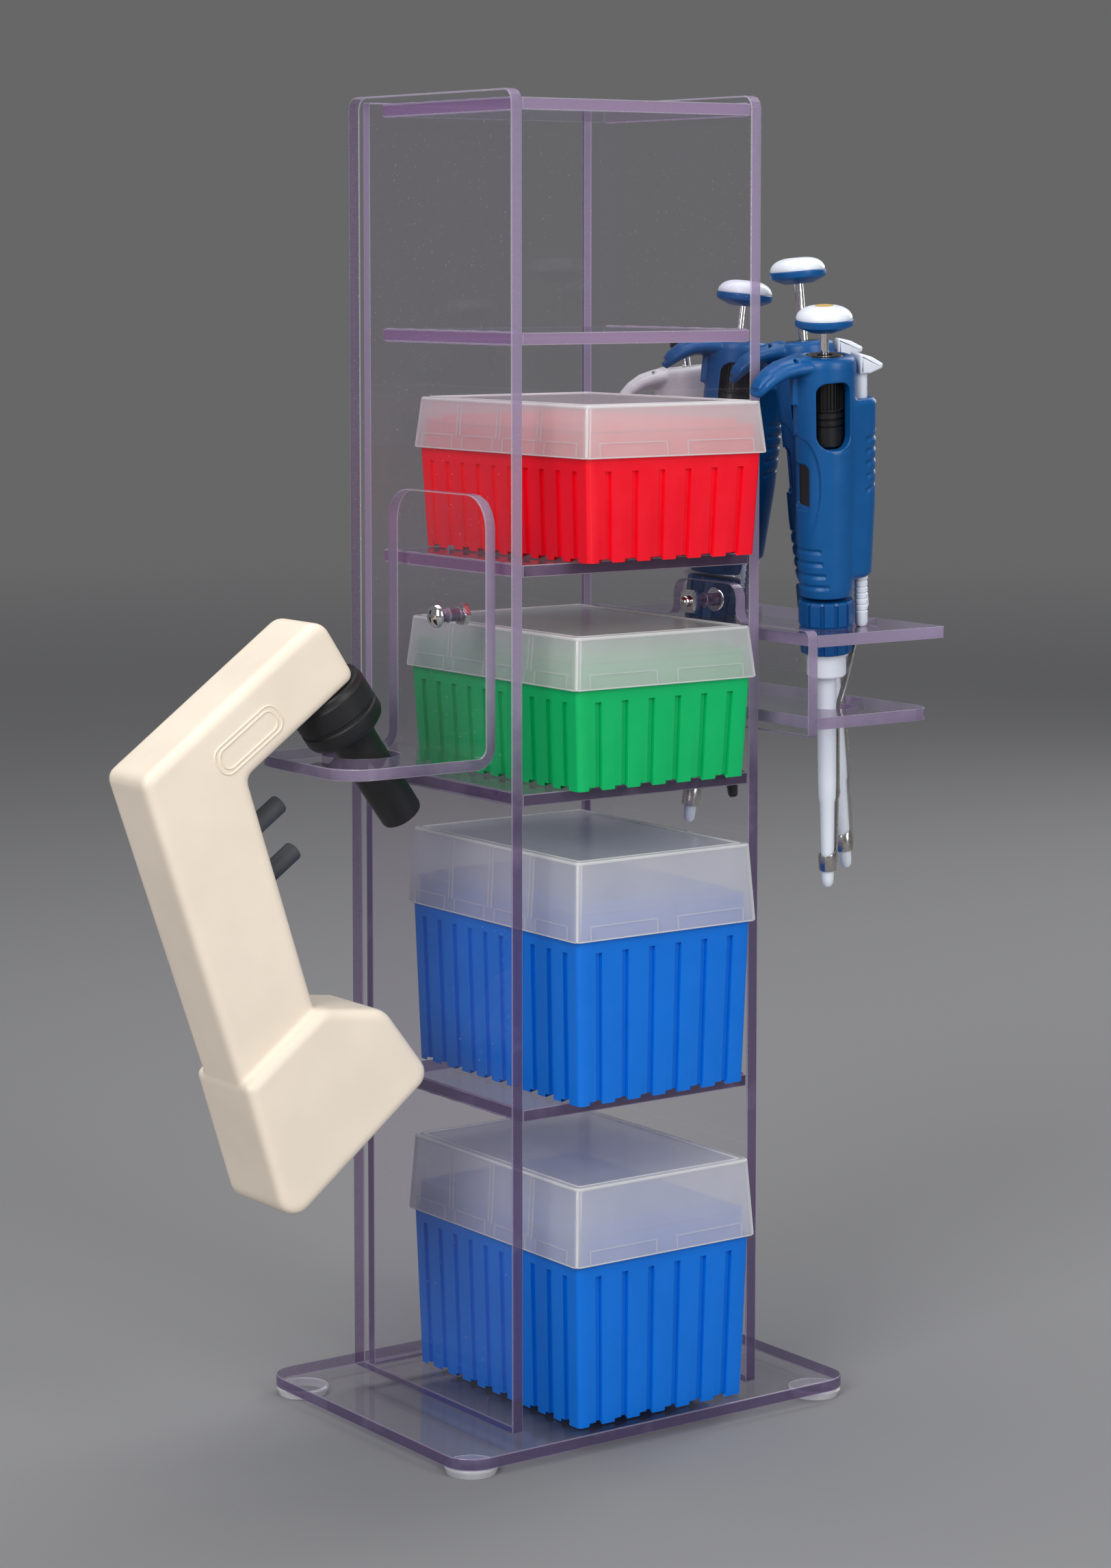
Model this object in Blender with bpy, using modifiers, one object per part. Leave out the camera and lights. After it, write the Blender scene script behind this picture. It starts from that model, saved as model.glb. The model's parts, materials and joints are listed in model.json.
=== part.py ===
"""Pipette set: a clear acrylic bench tower with four tip boxes, a rack of four
hanging pipettes on its right and a pistol-grip pipette controller on its left.

Sizes are in millimetres and become metres where a mesh is made. X runs to the
pipette rack, -Y is the tower's open front and Z is up. "Level" means a height
above the top of the base plate.
"""

import math

import bmesh
import bpy
from mathutils import Matrix, Quaternion, Vector

MM = 0.001
GAP = 0.3  # between pieces that touch or are glued

# The origin is under the middle of the whole set's footprint.
TOWER_X = 33.835
TOWER_Y = 7.85

# Tower
FOOT_RADIUS = 10.5
FOOT_HEIGHT = 3.3
BASE_SIZE = (191.0, 144.0)
BASE_CENTRE = (1.5, -1.0)
BASE_CORNER = 12.0
SHEET = 4.7  # thickness of the base, shelves and racks
BASE_TOP = FOOT_HEIGHT + GAP + SHEET
SIDE_INNER = 54.8  # from the middle to a side panel's inner face
SIDE_THICK = 5.0
FRONT_Y = -56.2
REAR_Y = 57.0
PANEL_HEIGHT = 515.0
BACK_FRONT_Y = 49.7
SHELF_REAR_Y = 40.5
SHELF_LEVELS = (126.5, 248.4, 335.9, 423.6, 511.7)  # top faces

# Tip boxes: name, floor level, height, skirt height, shift in X and Y
TIP_BOXES = (
    ("blue_lower", 0.0, 95.4, 30.8, 0.0, 0.0),
    ("blue_upper", 126.5, 95.4, 30.8, 0.0, 0.0),
    ("green", 248.4, 59.6, 20.3, 0.0, 0.5),
    ("red", 335.9, 60.2, 20.3, 2.0, -3.0),
)
BOX_CENTRE = (4.5, -11.0)
LID_BOTTOM = (88.0, 118.0)
LID_TOP = (84.6, 114.6)
LID_WALL = 1.0
TUB_BOTTOM = (80.0, 111.0)
TUB_SHOULDER = (84.2, 114.4)
TUB_WALL = 1.8
RIM_SIZE = (80.8, 110.8)
RIM_HEIGHT = 9.5
GROOVE_WIDTH = 2.4
GROOVE_DEPTH = 0.9
LONG_GROOVES = 10
SHORT_GROOVES = 6

# Controller bracket on the left panel
BRACKET_Y = (-46.0, 22.0)
BRACKET_THICK = 4.5
BRACKET_TOP = 362.0
BRACKET_SHELF = 262.0
BRACKET_REACH = -128.0
NOZZLE_HOLE = (-95.5, -6.0, 15.0)
LEFT_SCREW = (-13.0, 314.0)

# Pipette rack on the right panel
RACK_FRONT = -86.7
RACK_REAR = 58.0
RACK_LEVELS = (264.7, 306.6)
RACK_TAB = (-20.5, 41.0, 321.8)  # middle in Y, width, top level
UPPER_TOP = 304.7
UPPER_REACH = 131.0
LOWER_TOP = 272.2
LOWER_REACH = 126.0
RIGHT_BOLT = (-20.5, 314.0)
BOLT_RADIUS = 2.3
BOLT_HOLE = 2.65

# Controller, drawn in the XZ plane
GRIP_Y = -8.0
GRIP_THICK = 30.0
FOOT_THICK = 40.0
ARM_ANGLE = math.radians(35.4)
NOSE_POINT = (-94.75, 260.7)  # where the nosepiece's axis meets the bracket
NOSE_LEVEL = 34.5  # from there back to the underside of the arm

# Pipettes: name, X, Y, lean to the right, tilt to the front left, turn of the hook,
# rise above the first one's seat, plunger lift, and how much shorter the shaft is
PIPETTES = (
    ("pipette_1", 89.4, -62.1, -1.25, 7.2, 15.0, 0.0, 1.0, -4.0),
    ("pipette_2", 108.6, -38.9, -5.0, 0.0, 33.0, 4.2, 15.0, -2.6),
    ("pipette_3", 86.0, 8.5, 5.85, 0.0, 30.0, 4.2, 5.8, 12.4),
    ("pipette_4", 110.0, 38.0, -6.4, 0.0, 35.0, 0.0, -2.0, 21.4),
)
LEAN_WAY = Vector((0.814, -0.581, 0.0))
EJECTOR_X = 15.0
NUT_RADIUS = 10.5
SLOT_HALF = 5.2  # half width of the rack's slots for the ejectors
KNOB_RADIUS = 7.7
KNOB_HEIGHT = 36.4
ROD_RADIUS = 1.7
ROD_BORE = 2.9
KNOB_BORE = 4.4

COLOURS = {
    "acrylic": ((0.80, 0.76, 0.86), 0.05, 0.0),
    "clear_rubber": ((0.85, 0.85, 0.85), 0.3, 0.0),
    "frosted": ((0.82, 0.84, 0.86), 0.35, 0.0),
    "red": ((0.90, 0.01, 0.03), 0.35, 0.0),
    "green": ((0.0, 0.50, 0.16), 0.35, 0.0),
    "blue": ((0.0, 0.15, 0.70), 0.35, 0.0),
    "pipette_blue": ((0.0, 0.09, 0.29), 0.35, 0.0),
    "white": ((0.78, 0.80, 0.84), 0.35, 0.0),
    "grey": ((0.62, 0.62, 0.62), 0.4, 0.0),
    "ivory": ((0.86, 0.74, 0.58), 0.4, 0.0),
    "black": ((0.01, 0.01, 0.011), 0.5, 0.0),
    "dark_grey": ((0.06, 0.065, 0.075), 0.6, 0.0),
    "steel": ((0.60, 0.59, 0.56), 0.25, 1.0),
}


# ---------------------------------------------------------------- helpers


def clear_scene():
    for obj in list(bpy.data.objects):
        bpy.data.objects.remove(obj)


def new_collection(name):
    collection = bpy.data.collections.new(name)
    bpy.context.scene.collection.children.link(collection)
    return collection


def material(name):
    """The Principled material of this colour name, made once."""
    if name in bpy.data.materials:
        return bpy.data.materials[name]
    colour, roughness, metallic = COLOURS[name]
    made = bpy.data.materials.new(name)
    made.use_nodes = True
    shader = made.node_tree.nodes["Principled BSDF"]
    shader.inputs["Base Color"].default_value = (*colour, 1.0)
    shader.inputs["Roughness"].default_value = roughness
    shader.inputs["Metallic"].default_value = metallic
    return made


def place(obj, parent, at=(0, 0, 0), collection=None):
    """Links an object and puts it at a point of its parent's frame."""
    (collection or PARTS).objects.link(obj)
    obj.parent = parent
    obj.location = Vector(at) * MM
    return obj


def from_bmesh(name, bm, parent, at=(0, 0, 0)):
    bmesh.ops.recalc_face_normals(bm, faces=bm.faces)
    for vertex in bm.verts:
        vertex.co *= MM
    mesh = bpy.data.meshes.new(name)
    bm.to_mesh(mesh)
    bm.free()
    return place(bpy.data.objects.new(name, mesh), parent, at)


def block(name, low, high, parent, bevel=0.0, taper=(0.0, 0.0)):
    """A box between two corners; taper draws its bottom in on each side."""
    low, high = Vector(low), Vector(high)
    bm = bmesh.new()
    bmesh.ops.create_cube(bm, size=1.0)
    for vertex in bm.verts:
        vertex.co = Vector(a * b for a, b in zip(vertex.co, high - low))
        if vertex.co.z < 0:
            vertex.co.x -= taper[0] * math.copysign(1, vertex.co.x)
            vertex.co.y -= taper[1] * math.copysign(1, vertex.co.y)
    obj = from_bmesh(name, bm, parent, (low + high) / 2)
    if bevel:
        add_bevel(obj, bevel)
    return obj


def add_bevel(obj, width, segments=2, angle=30.0):
    modifier = obj.modifiers.new("rounded edges", "BEVEL")
    modifier.width = width * MM
    modifier.segments = segments
    modifier.limit_method = "ANGLE"
    modifier.angle_limit = math.radians(angle)


def cylinder(name, radius, start, end, parent, segments=24):
    """A cylinder between two points."""
    start, end = Vector(start), Vector(end)
    bm = bmesh.new()
    bmesh.ops.create_cone(
        bm,
        cap_ends=True,
        segments=segments,
        radius1=radius,
        radius2=radius,
        depth=(end - start).length,
    )
    turn = Vector((0, 0, 1)).rotation_difference(end - start)
    bmesh.ops.rotate(bm, verts=bm.verts, matrix=turn.to_matrix())
    return from_bmesh(name, bm, parent, (start + end) / 2)


def turned(name, profile, parent, at=(0, 0, 0), along=(0, 0, 1), steps=20):
    """A solid turned about an axis, from (radius, height) points, top first."""
    mesh = bpy.data.meshes.new(name)
    points = [(radius * MM, 0, height * MM) for radius, height in profile]
    mesh.from_pydata(points, [(i, i + 1) for i in range(len(points) - 1)], [])
    obj = place(bpy.data.objects.new(name, mesh), parent, at)
    obj.rotation_euler = Vector((0, 0, 1)).rotation_difference(Vector(along)).to_euler()
    screw = obj.modifiers.new("turn", "SCREW")
    screw.steps = steps
    screw.render_steps = steps
    screw.use_merge_vertices = True
    screw.merge_threshold = 0.00001
    return obj


def rounded(corners, steps=4):
    """Points of a closed outline whose (a, b, radius) corners are filleted."""
    points = []
    count = len(corners)
    for i, (a, b, radius) in enumerate(corners):
        here = Vector((a, b))
        if not radius:
            points.append(here)
            continue
        back = (Vector(corners[i - 1][:2]) - here).normalized()
        ahead = (Vector(corners[(i + 1) % count][:2]) - here).normalized()
        half = back.angle(ahead) / 2
        centre = here + (back + ahead).normalized() * radius / math.sin(half)
        first = here + back * radius / math.tan(half) - centre
        sweep = first.angle_signed(here + ahead * radius / math.tan(half) - centre)
        for step in range(steps + 1):
            angle = -sweep * step / steps
            points.append(centre + Matrix.Rotation(angle, 2) @ first)
    return points


PLANES = {
    "XY": Matrix.Identity(4),
    "XZ": Matrix.Rotation(math.pi / 2, 4, "X"),
    "YZ": Matrix.Rotation(math.pi / 2, 4, "Z") @ Matrix.Rotation(math.pi / 2, 4, "X"),
}
NORMALS = {"XY": (0, 0, 1), "XZ": (0, 1, 0), "YZ": (1, 0, 0)}


def sheet(name, plane, corners, low, high, parent, steps=4):
    """A flat outline in a plane, from low to high along the plane's normal."""
    curve = bpy.data.curves.new(name, "CURVE")
    curve.dimensions = "2D"
    curve.fill_mode = "BOTH"
    curve.extrude = (high - low) / 2 * MM
    points = rounded(corners, steps)
    spline = curve.splines.new("POLY")
    spline.points.add(len(points) - 1)
    for target, point in zip(spline.points, points):
        target.co = (point.x * MM, point.y * MM, 0, 1)
    spline.use_cyclic_u = True
    guide = bpy.data.objects.new(name + "_outline", curve)
    bpy.context.scene.collection.objects.link(guide)
    graph = bpy.context.evaluated_depsgraph_get()
    mesh = bpy.data.meshes.new_from_object(guide.evaluated_get(graph))
    mesh.transform(PLANES[plane])
    bpy.data.objects.remove(guide)
    bm = bmesh.new()
    bm.from_mesh(mesh)
    bmesh.ops.remove_doubles(bm, verts=bm.verts, dist=0.000001)
    bmesh.ops.recalc_face_normals(bm, faces=bm.faces)
    bm.to_mesh(mesh)
    bm.free()
    middle = Vector(NORMALS[plane]) * (low + high) / 2
    return place(bpy.data.objects.new(name, mesh), parent, middle)


def boolean(target, tool, operation):
    PARTS.objects.unlink(tool)
    CUTTERS.objects.link(tool)
    tool.hide_render = True
    tool.display_type = "WIRE"
    modifier = target.modifiers.new(tool.name, "BOOLEAN")
    modifier.object = tool
    modifier.operation = operation
    return target


def cut(target, tool):
    return boolean(target, tool, "DIFFERENCE")


def join(target, tool):
    return boolean(target, tool, "UNION")


def keep(target, tool):
    return boolean(target, tool, "INTERSECT")


def finish(obj, colour):
    """Gives a piece its material; every mesh piece is shaded by its angles."""
    obj.data.materials.append(material(colour))
    if obj.data.polygons:
        obj.data.shade_smooth()
        obj.data.set_sharp_from_angle(angle=math.radians(35))
    return obj


def frame(name, parent, at=(0, 0, 0), turn=None):
    empty = place(bpy.data.objects.new(name, None), parent, at)
    if turn:
        empty.rotation_euler = turn.to_euler()
    return empty


# ------------------------------------------------------------------ tower


def rectangle(x0, x1, y0, y1, radii):
    """A rectangle's corners from (x0, y0) round to (x0, y1)."""
    return [
        (x0, y0, radii[0]),
        (x1, y0, radii[1]),
        (x1, y1, radii[2]),
        (x0, y1, radii[3]),
    ]


def make_base(tower):
    half_x, half_y = BASE_SIZE[0] / 2, BASE_SIZE[1] / 2
    x, y = BASE_CENTRE
    outline = rectangle(x - half_x, x + half_x, y - half_y, y + half_y, [BASE_CORNER] * 4)
    finish(sheet("base_plate", "XY", outline, -SHEET, 0, tower, 6), "acrylic")
    inset = FOOT_RADIUS + 0.6
    sides = (("front_left", -1, -1), ("front_right", 1, -1), ("rear_left", -1, 1), ("rear_right", 1, 1))
    for name, side_x, side_y in sides:
        at = (x + side_x * (half_x - inset), y + side_y * (half_y - inset), -BASE_TOP)
        profile = [(0, FOOT_HEIGHT), (9.4, FOOT_HEIGHT), (FOOT_RADIUS, 2.4), (9.6, 0), (0, 0)]
        finish(turned("foot_" + name, profile, tower, at, steps=24), "clear_rubber")


def make_panels(tower):
    outer = SIDE_INNER + SIDE_THICK
    outline = rectangle(FRONT_Y, REAR_Y, GAP, PANEL_HEIGHT, (0, 0, 5, 5))
    for name, low, (bolt_y, bolt_z) in (
        ("side_panel_left", -outer, LEFT_SCREW),
        ("side_panel_right", SIDE_INNER, RIGHT_BOLT),
    ):
        panel = sheet(name, "YZ", outline, low, low + SIDE_THICK, tower, 3)
        start = (low - 5, bolt_y, bolt_z)
        end = (low + 10, bolt_y, bolt_z)
        cut(panel, cylinder(name + "_hole", BOLT_HOLE, start, end, tower, 16))
        finish(panel, "acrylic")
    inner = SIDE_INNER - GAP
    low = (-inner, BACK_FRONT_Y, GAP)
    high = (inner, BACK_FRONT_Y + SHEET, PANEL_HEIGHT - 2)
    finish(block("back_panel", low, high, tower), "acrylic")
    for number, level in enumerate(SHELF_LEVELS, 1):
        low = (-inner, FRONT_Y + GAP, level - SHEET)
        high = (inner, SHELF_REAR_Y, level)
        finish(block(f"shelf_{number}", low, high, tower), "acrylic")


# --------------------------------------------------------------- tip boxes


def groove_rows(half_x, half_y):
    """The middle and outward normal of each groove, round the tub's walls."""
    for side in (-1, 1):
        for i in range(LONG_GROOVES):
            step = 2 * half_y / (LONG_GROOVES + 0.6)
            yield side * half_x, (i - (LONG_GROOVES - 1) / 2) * step, (side, 0)
        for i in range(SHORT_GROOVES):
            step = 2 * half_x / (SHORT_GROOVES + 0.6)
            yield (i - (SHORT_GROOVES - 1) / 2) * step, side * half_y, (0, side)


def groove_cutter(name, height, lean, parent):
    """One mesh of every groove in a tub's walls, leaning out with the walls."""
    bm = bmesh.new()
    half_x, half_y = TUB_BOTTOM[0] / 2, TUB_BOTTOM[1] / 2
    reach = 3.0
    for x, y, (normal_x, normal_y) in groove_rows(half_x, half_y):
        made = bmesh.ops.create_cube(bm, size=1.0)["verts"]
        for vertex in made:
            out = vertex.co.x + 0.5
            z = -1.0 if vertex.co.z < 0 else height
            out = out * (reach + GROOVE_DEPTH) - GROOVE_DEPTH + z * lean
            along = vertex.co.y * GROOVE_WIDTH
            vertex.co = (
                x + normal_x * out + abs(normal_y) * along,
                y + normal_y * out + abs(normal_x) * along,
                z,
            )
    return from_bmesh(name, bm, parent)


def make_tip_box(tower, name, floor, height, skirt, shift_x, shift_y):
    at = (BOX_CENTRE[0] + shift_x, BOX_CENTRE[1] + shift_y, floor + GAP)
    box = frame(name + "_box", tower, at)
    colour = name.split("_")[0]
    shoulder = height - skirt + 1.0
    rim_top = height - skirt + RIM_HEIGHT
    taper = [(b - a) / 2 for a, b in zip(TUB_BOTTOM, TUB_SHOULDER)]
    half = [size / 2 for size in TUB_SHOULDER]
    rim = [size / 2 for size in RIM_SIZE]

    tub = block(name + "_tub", (-half[0], -half[1], 0), (*half, shoulder), box, taper=taper)
    join(tub, block(name + "_rim", (-rim[0], -rim[1], shoulder - 3), (*rim, rim_top), box))
    cut(tub, groove_cutter(name + "_grooves", shoulder - 7, taper[0] / shoulder, box))
    hollow = [size - TUB_WALL for size in rim]
    low = (-hollow[0], -hollow[1], 2.0)
    high = (*hollow, rim_top + 5)
    cut(tub, block(name + "_hollow", low, high, box, taper=(2.2, 2.2)))
    finish(tub, colour)

    # The deck stands on the rim; its raised middle carries the tips.
    low = (-rim[0], -rim[1], rim_top + GAP)
    deck = block(name + "_deck", low, (*rim, rim_top + GAP + 1.6), box)
    low = (-rim[0] + 5, -rim[1] + 5, rim_top - 3)
    high = (rim[0] - 5, rim[1] - 5, rim_top + 3.8)
    join(deck, block(name + "_raised", low, high, box))
    finish(deck, colour)

    skirt_bottom = height - skirt
    outer = [size / 2 for size in LID_BOTTOM]
    draw = [(b - a) / 2 for a, b in zip(LID_BOTTOM, LID_TOP)]
    low = (-outer[0] - draw[0], -outer[1] - draw[1], skirt_bottom)
    high = (outer[0] + draw[0], outer[1] + draw[1], height)
    lid = block(name + "_lid", low, high, box, taper=draw)
    add_bevel(lid, 0.8, 1)
    low = (-outer[0] - draw[0] + LID_WALL, -outer[1] - draw[1] + LID_WALL, skirt_bottom - 5)
    high = (outer[0] + draw[0] - LID_WALL, outer[1] + draw[1] - LID_WALL, height - 1.2)
    cut(lid, block(name + "_inside", low, high, box, taper=draw))
    finish(lid, "frosted")


# ------------------------------------------------------- controller bracket


def make_bracket(tower):
    outer = SIDE_INNER + SIDE_THICK
    inner_x = -outer - GAP
    face_x = inner_x - BRACKET_THICK
    bottom = BRACKET_SHELF - BRACKET_THICK
    profile = [
        (inner_x, BRACKET_TOP, 0),
        (inner_x, bottom, 8.5),
        (BRACKET_REACH, bottom, 0),
        (BRACKET_REACH, BRACKET_SHELF, 0),
        (face_x, BRACKET_SHELF, 4),
        (face_x, BRACKET_TOP, 0),
    ]
    front, rear = BRACKET_Y
    bracket = sheet("controller_bracket", "XZ", profile, front, rear, tower, 5)
    tab = rectangle(front, rear, bottom - 9, BRACKET_TOP, (0, 0, 13, 13))
    keep(bracket, sheet("bracket_tab", "YZ", tab, BRACKET_REACH - 9, inner_x + 9, tower, 6))
    tray = rectangle(BRACKET_REACH, inner_x + 9, front, rear, (14, 0, 0, 14))
    keep(bracket, sheet("bracket_tray", "XY", tray, bottom - 9, BRACKET_TOP + 9, tower, 6))
    x, y, radius = NOZZLE_HOLE
    start, end = (x, y, bottom - 5), (x, y, BRACKET_SHELF + 5)
    cut(bracket, cylinder("bracket_nose_hole", radius, start, end, tower, 32))
    y, z = LEFT_SCREW
    start, end = (face_x - 5, y, z), (inner_x + 5, y, z)
    cut(bracket, cylinder("bracket_screw_hole", BOLT_HOLE, start, end, tower, 16))
    finish(bracket, "acrylic")

    length = SIDE_THICK + BRACKET_THICK + GAP + 3.6
    head = [(0, 3.6), (2.6, 3.1), (4.3, 1.6), (4.7, 0), (BOLT_RADIUS, 0)]
    shank = [(BOLT_RADIUS, -length), (0, -length)]
    at = (face_x - GAP, y, z)
    finish(turned("bracket_screw", head + shank, tower, at, (-1, 0, 0), 16), "steel")
    inside = -SIDE_INNER + GAP
    start, end = (inside, y, z), (inside + 2.8, y, z)
    nut = cylinder("bracket_nut", 4.7, start, end, tower, 6)
    start, end = (inside - 5, y, z), (inside + 9, y, z)
    cut(nut, cylinder("bracket_nut_hole", BOLT_HOLE, start, end, tower, 16))
    finish(nut, "steel")


# ------------------------------------------------------------ pipette rack


def make_rack(tower, frames):
    inner_x = SIDE_INNER + SIDE_THICK + GAP
    face_x = inner_x + SHEET
    bottom, top = RACK_LEVELS
    tab_y, tab_width, tab_top = RACK_TAB
    outline = [
        (RACK_FRONT, bottom, 1.5),
        (RACK_REAR, bottom, 1.5),
        (RACK_REAR, top, 3),
        (tab_y + tab_width / 2, top, 5),
        (tab_y + tab_width / 2, tab_top, 6),
        (tab_y - tab_width / 2, tab_top, 6),
        (tab_y - tab_width / 2, top, 5),
        (RACK_FRONT, top, 3),
    ]
    plate = sheet("rack_plate", "YZ", outline, inner_x, face_x, tower)
    y, z = RIGHT_BOLT
    start, end = (inner_x - 5, y, z), (face_x + 5, y, z)
    cut(plate, cylinder("rack_bolt_hole", BOLT_HOLE, start, end, tower, 16))
    finish(plate, "acrylic")

    outline = rectangle(face_x + GAP, UPPER_REACH, RACK_FRONT, RACK_REAR, (0, 1.5, 1.5, 0))
    upper = sheet("rack_upper_plate", "XY", outline, UPPER_TOP - SHEET, UPPER_TOP, tower)
    outline = rectangle(face_x + GAP, LOWER_REACH, RACK_FRONT, RACK_REAR, (0, 10, 10, 0))
    lower = sheet("rack_lower_plate", "XY", outline, LOWER_TOP - SHEET, LOWER_TOP, tower)
    for pipette, rise in frames:
        name = pipette.name
        hole = NUT_RADIUS + GAP
        cut(upper, cylinder(name + "_nut_hole", hole, (0, 0, -16), (0, 0, 8), pipette, 32))
        low, high = (EJECTOR_X - 9, -SLOT_HALF, -16), (EJECTOR_X + 5.5, SLOT_HALF, 8)
        cut(upper, block(name + "_slot", low, high, pipette))
        drop = LOWER_TOP - UPPER_TOP - rise
        start, end = (2.6, 0, drop - 15), (2.6, 0, drop + 9)
        cut(lower, cylinder(name + "_lower_hole", 10.0, start, end, pipette, 20))
    finish(upper, "acrylic")
    finish(lower, "acrylic")

    head = [(0, 3.4), (2.8, 2.9), (4.6, 1.4), (4.9, 0), (BOLT_RADIUS, 0)]
    length = SHEET + GAP + SIDE_THICK + GAP + 4.6
    shank = [(BOLT_RADIUS, -length), (0, -length)]
    at = (face_x + GAP, y, z)
    finish(turned("rack_bolt", head + shank, tower, at, (1, 0, 0), 16), "steel")
    inside = SIDE_INNER - GAP
    low, high = (inside - 3.4, y - 4.6, z - 4.6), (inside, y + 4.6, z + 4.6)
    nut = block("rack_square_nut", low, high, tower)
    start, end = (inside - 9, y, z), (inside + 5, y, z)
    cut(nut, cylinder("rack_nut_hole", BOLT_HOLE, start, end, tower, 16))
    finish(nut, "steel")


# -------------------------------------------------------------- controller


def make_controller(tower):
    low, high = GRIP_Y - GRIP_THICK / 2, GRIP_Y + GRIP_THICK / 2
    outline = [
        (-200.0, 261.5, 7),
        (-123.5, 316.5, 9),
        (-107.5, 294.0, 4),
        (-155.3, 259.3, 4),
        (-124.0, 161.0, 0),
        (-124.0, 128.0, 0),
        (-154.6, 128.0, 0),
    ]
    body = sheet("controller_body", "XZ", outline, low, high, tower, 3)
    add_bevel(body, 5.0, 2, 50)
    outline = [
        (-160.2, 143.5, 2),
        (-126.5, 169.5, 5),
        (-98.0, 166.0, 8),
        (-79.0, 138.5, 5),
        (-143.5, 91.8, 7),
    ]
    low, high = GRIP_Y - FOOT_THICK / 2, GRIP_Y + FOOT_THICK / 2
    foot = sheet("controller_foot", "XZ", outline, low, high, tower, 3)
    add_bevel(foot, 5.0, 2, 50)
    join(body, foot)

    along = Vector((math.cos(ARM_ANGLE), 0, math.sin(ARM_ANGLE)))
    down = Vector((math.sin(ARM_ANGLE), 0, -math.cos(ARM_ANGLE)))
    nose = Vector((NOSE_POINT[0], GRIP_Y, NOSE_POINT[1]))
    root = nose - down * NOSE_LEVEL
    cut(body, cylinder("nose_socket", 9.0, root - down * 12, root + down * 20, tower))
    # The nosepiece: a spigot in the arm, a stepped collar and a tube.
    collar = [
        (0, 11.5),
        (8.6, 11.5),
        (8.6, -0.4),
        (15.2, -0.4),
        (16.2, -3.0),
        (16.2, -17.6),
        (14.6, -21.0),
        (10.6, -21.4),
        (8.8, -27.0),
        (8.4, -62.5),
        (7.2, -63.8),
        (0, -63.8),
    ]
    piece = turned("controller_nosepiece", collar, tower, root, -down, 28)
    finish(piece, "black")

    for name, x, z in (("aspirate_button", -133.1, 246.5), ("dispense_button", -126.8, 228.1)):
        tip = Vector((x, GRIP_Y, z))
        inner = tip - along * 32.0
        cut(body, cylinder(name + "_bore", 4.1, inner - along * 9, tip + along * 9, tower, 20))
        profile = [(0, 0), (2.9, 0), (3.8, -0.9), (3.8, -32.0), (0, -32.0)]
        finish(turned(name, profile, tower, tip, along, 16), "dark_grey")
    finish(body, "ivory")


# ---------------------------------------------------------------- pipettes


def pipette_frame(tower, name, x, y, lean, tilt, turn, rise):
    """An empty on the pipette's axis, at or above the top of the upper plate."""
    axis = Quaternion(LEAN_WAY.cross(Vector((0, 0, 1))), -math.radians(lean))
    axis = Quaternion(LEAN_WAY, math.radians(tilt)) @ axis
    yaw = Quaternion((0, 0, 1), -math.radians(turn))
    seat = Vector((x, y, UPPER_TOP)) + axis @ Vector((0, 0, rise))
    return frame(name, tower, seat, axis @ yaw)


def make_handle(pipette, name, colour, top, windowed):
    """A grip with a finger hook on -X and an ejector channel on +X."""
    column = [
        (0, top - 3.0),
        (10.5, top - 3.0),
        (12.6, top - 6.0),
        (12.6, 50.0),
        (11.2, 15.0),
        (10.2, 13.0),
        (0, 13.0),
    ]
    handle = turned(name + "_handle", column, pipette, steps=24)
    hook = [
        (14.0, top, 3),
        (-14.0, top + 0.6, 12),
        (-25.5, top - 3.6, 8),
        (-30.2, top - 11.4, 5),
        (-27.8, top - 16.2, 2),
        (-18.4, top - 7.2, 3.5),
        (-18.4, top - 25.0, 4),
        (-11.0, top - 37.0, 0),
        (-2.0, top - 37.0, 0),
        (-2.0, top - 7.5, 0),
        (14.0, top - 5.5, 2),
    ]
    shape = sheet(name + "_hook", "XZ", hook, -5.0, 5.0, pipette, 3)
    join(handle, shape)
    lobe = block(name + "_lobe", (5, -5.6, 20), (21.4, 5.6, top - 17.8), pipette, bevel=2.4)
    join(handle, lobe)
    if windowed:
        window = rectangle(-6.4, 6.4, top - 36.0, top - 9.6, [2.5] * 4)
        cut(handle, sheet(name + "_window", "XZ", window, -20, 20, pipette, 3))
        start, end = (0, 0, top - KNOB_HEIGHT - 0.4), (0, 0, top + 5)
        cut(handle, cylinder(name + "_knob_bore", KNOB_RADIUS + GAP, start, end, pipette, 24))
    start, end = (0, 0, top - 52), (0, 0, top + 5)
    cut(handle, cylinder(name + "_rod_bore", ROD_BORE, start, end, pipette, 16))
    start, end = (EJECTOR_X, 0, 5), (EJECTOR_X, 0, top + 5)
    cut(handle, cylinder(name + "_ejector_bore", 3.0, start, end, pipette, 16))
    finish(handle, colour)


def make_barrel(pipette, name, colour, short):
    """The ribbed nut, its collar, the shaft and the tip cone."""
    profile = [
        (0, 12.4),
        (10.3, 12.4),
        (11.1, 11.4),
        (11.1, 2.0),
        (NUT_RADIUS, 1.4),
        (NUT_RADIUS, -9.4),
        (9.9, -10.1),
        (7.9, -10.1),
        (7.9, -19.6),
        (3.9, -20.4),
        (3.7, -60.0 + short),
        (2.85, -88.0 + short),
        (2.45, -101.5 + short),
        (1.8, -103.8 + short),
        (0, -103.8 + short),
    ]
    finish(turned(name + "_barrel", profile, pipette, steps=20), colour)


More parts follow.
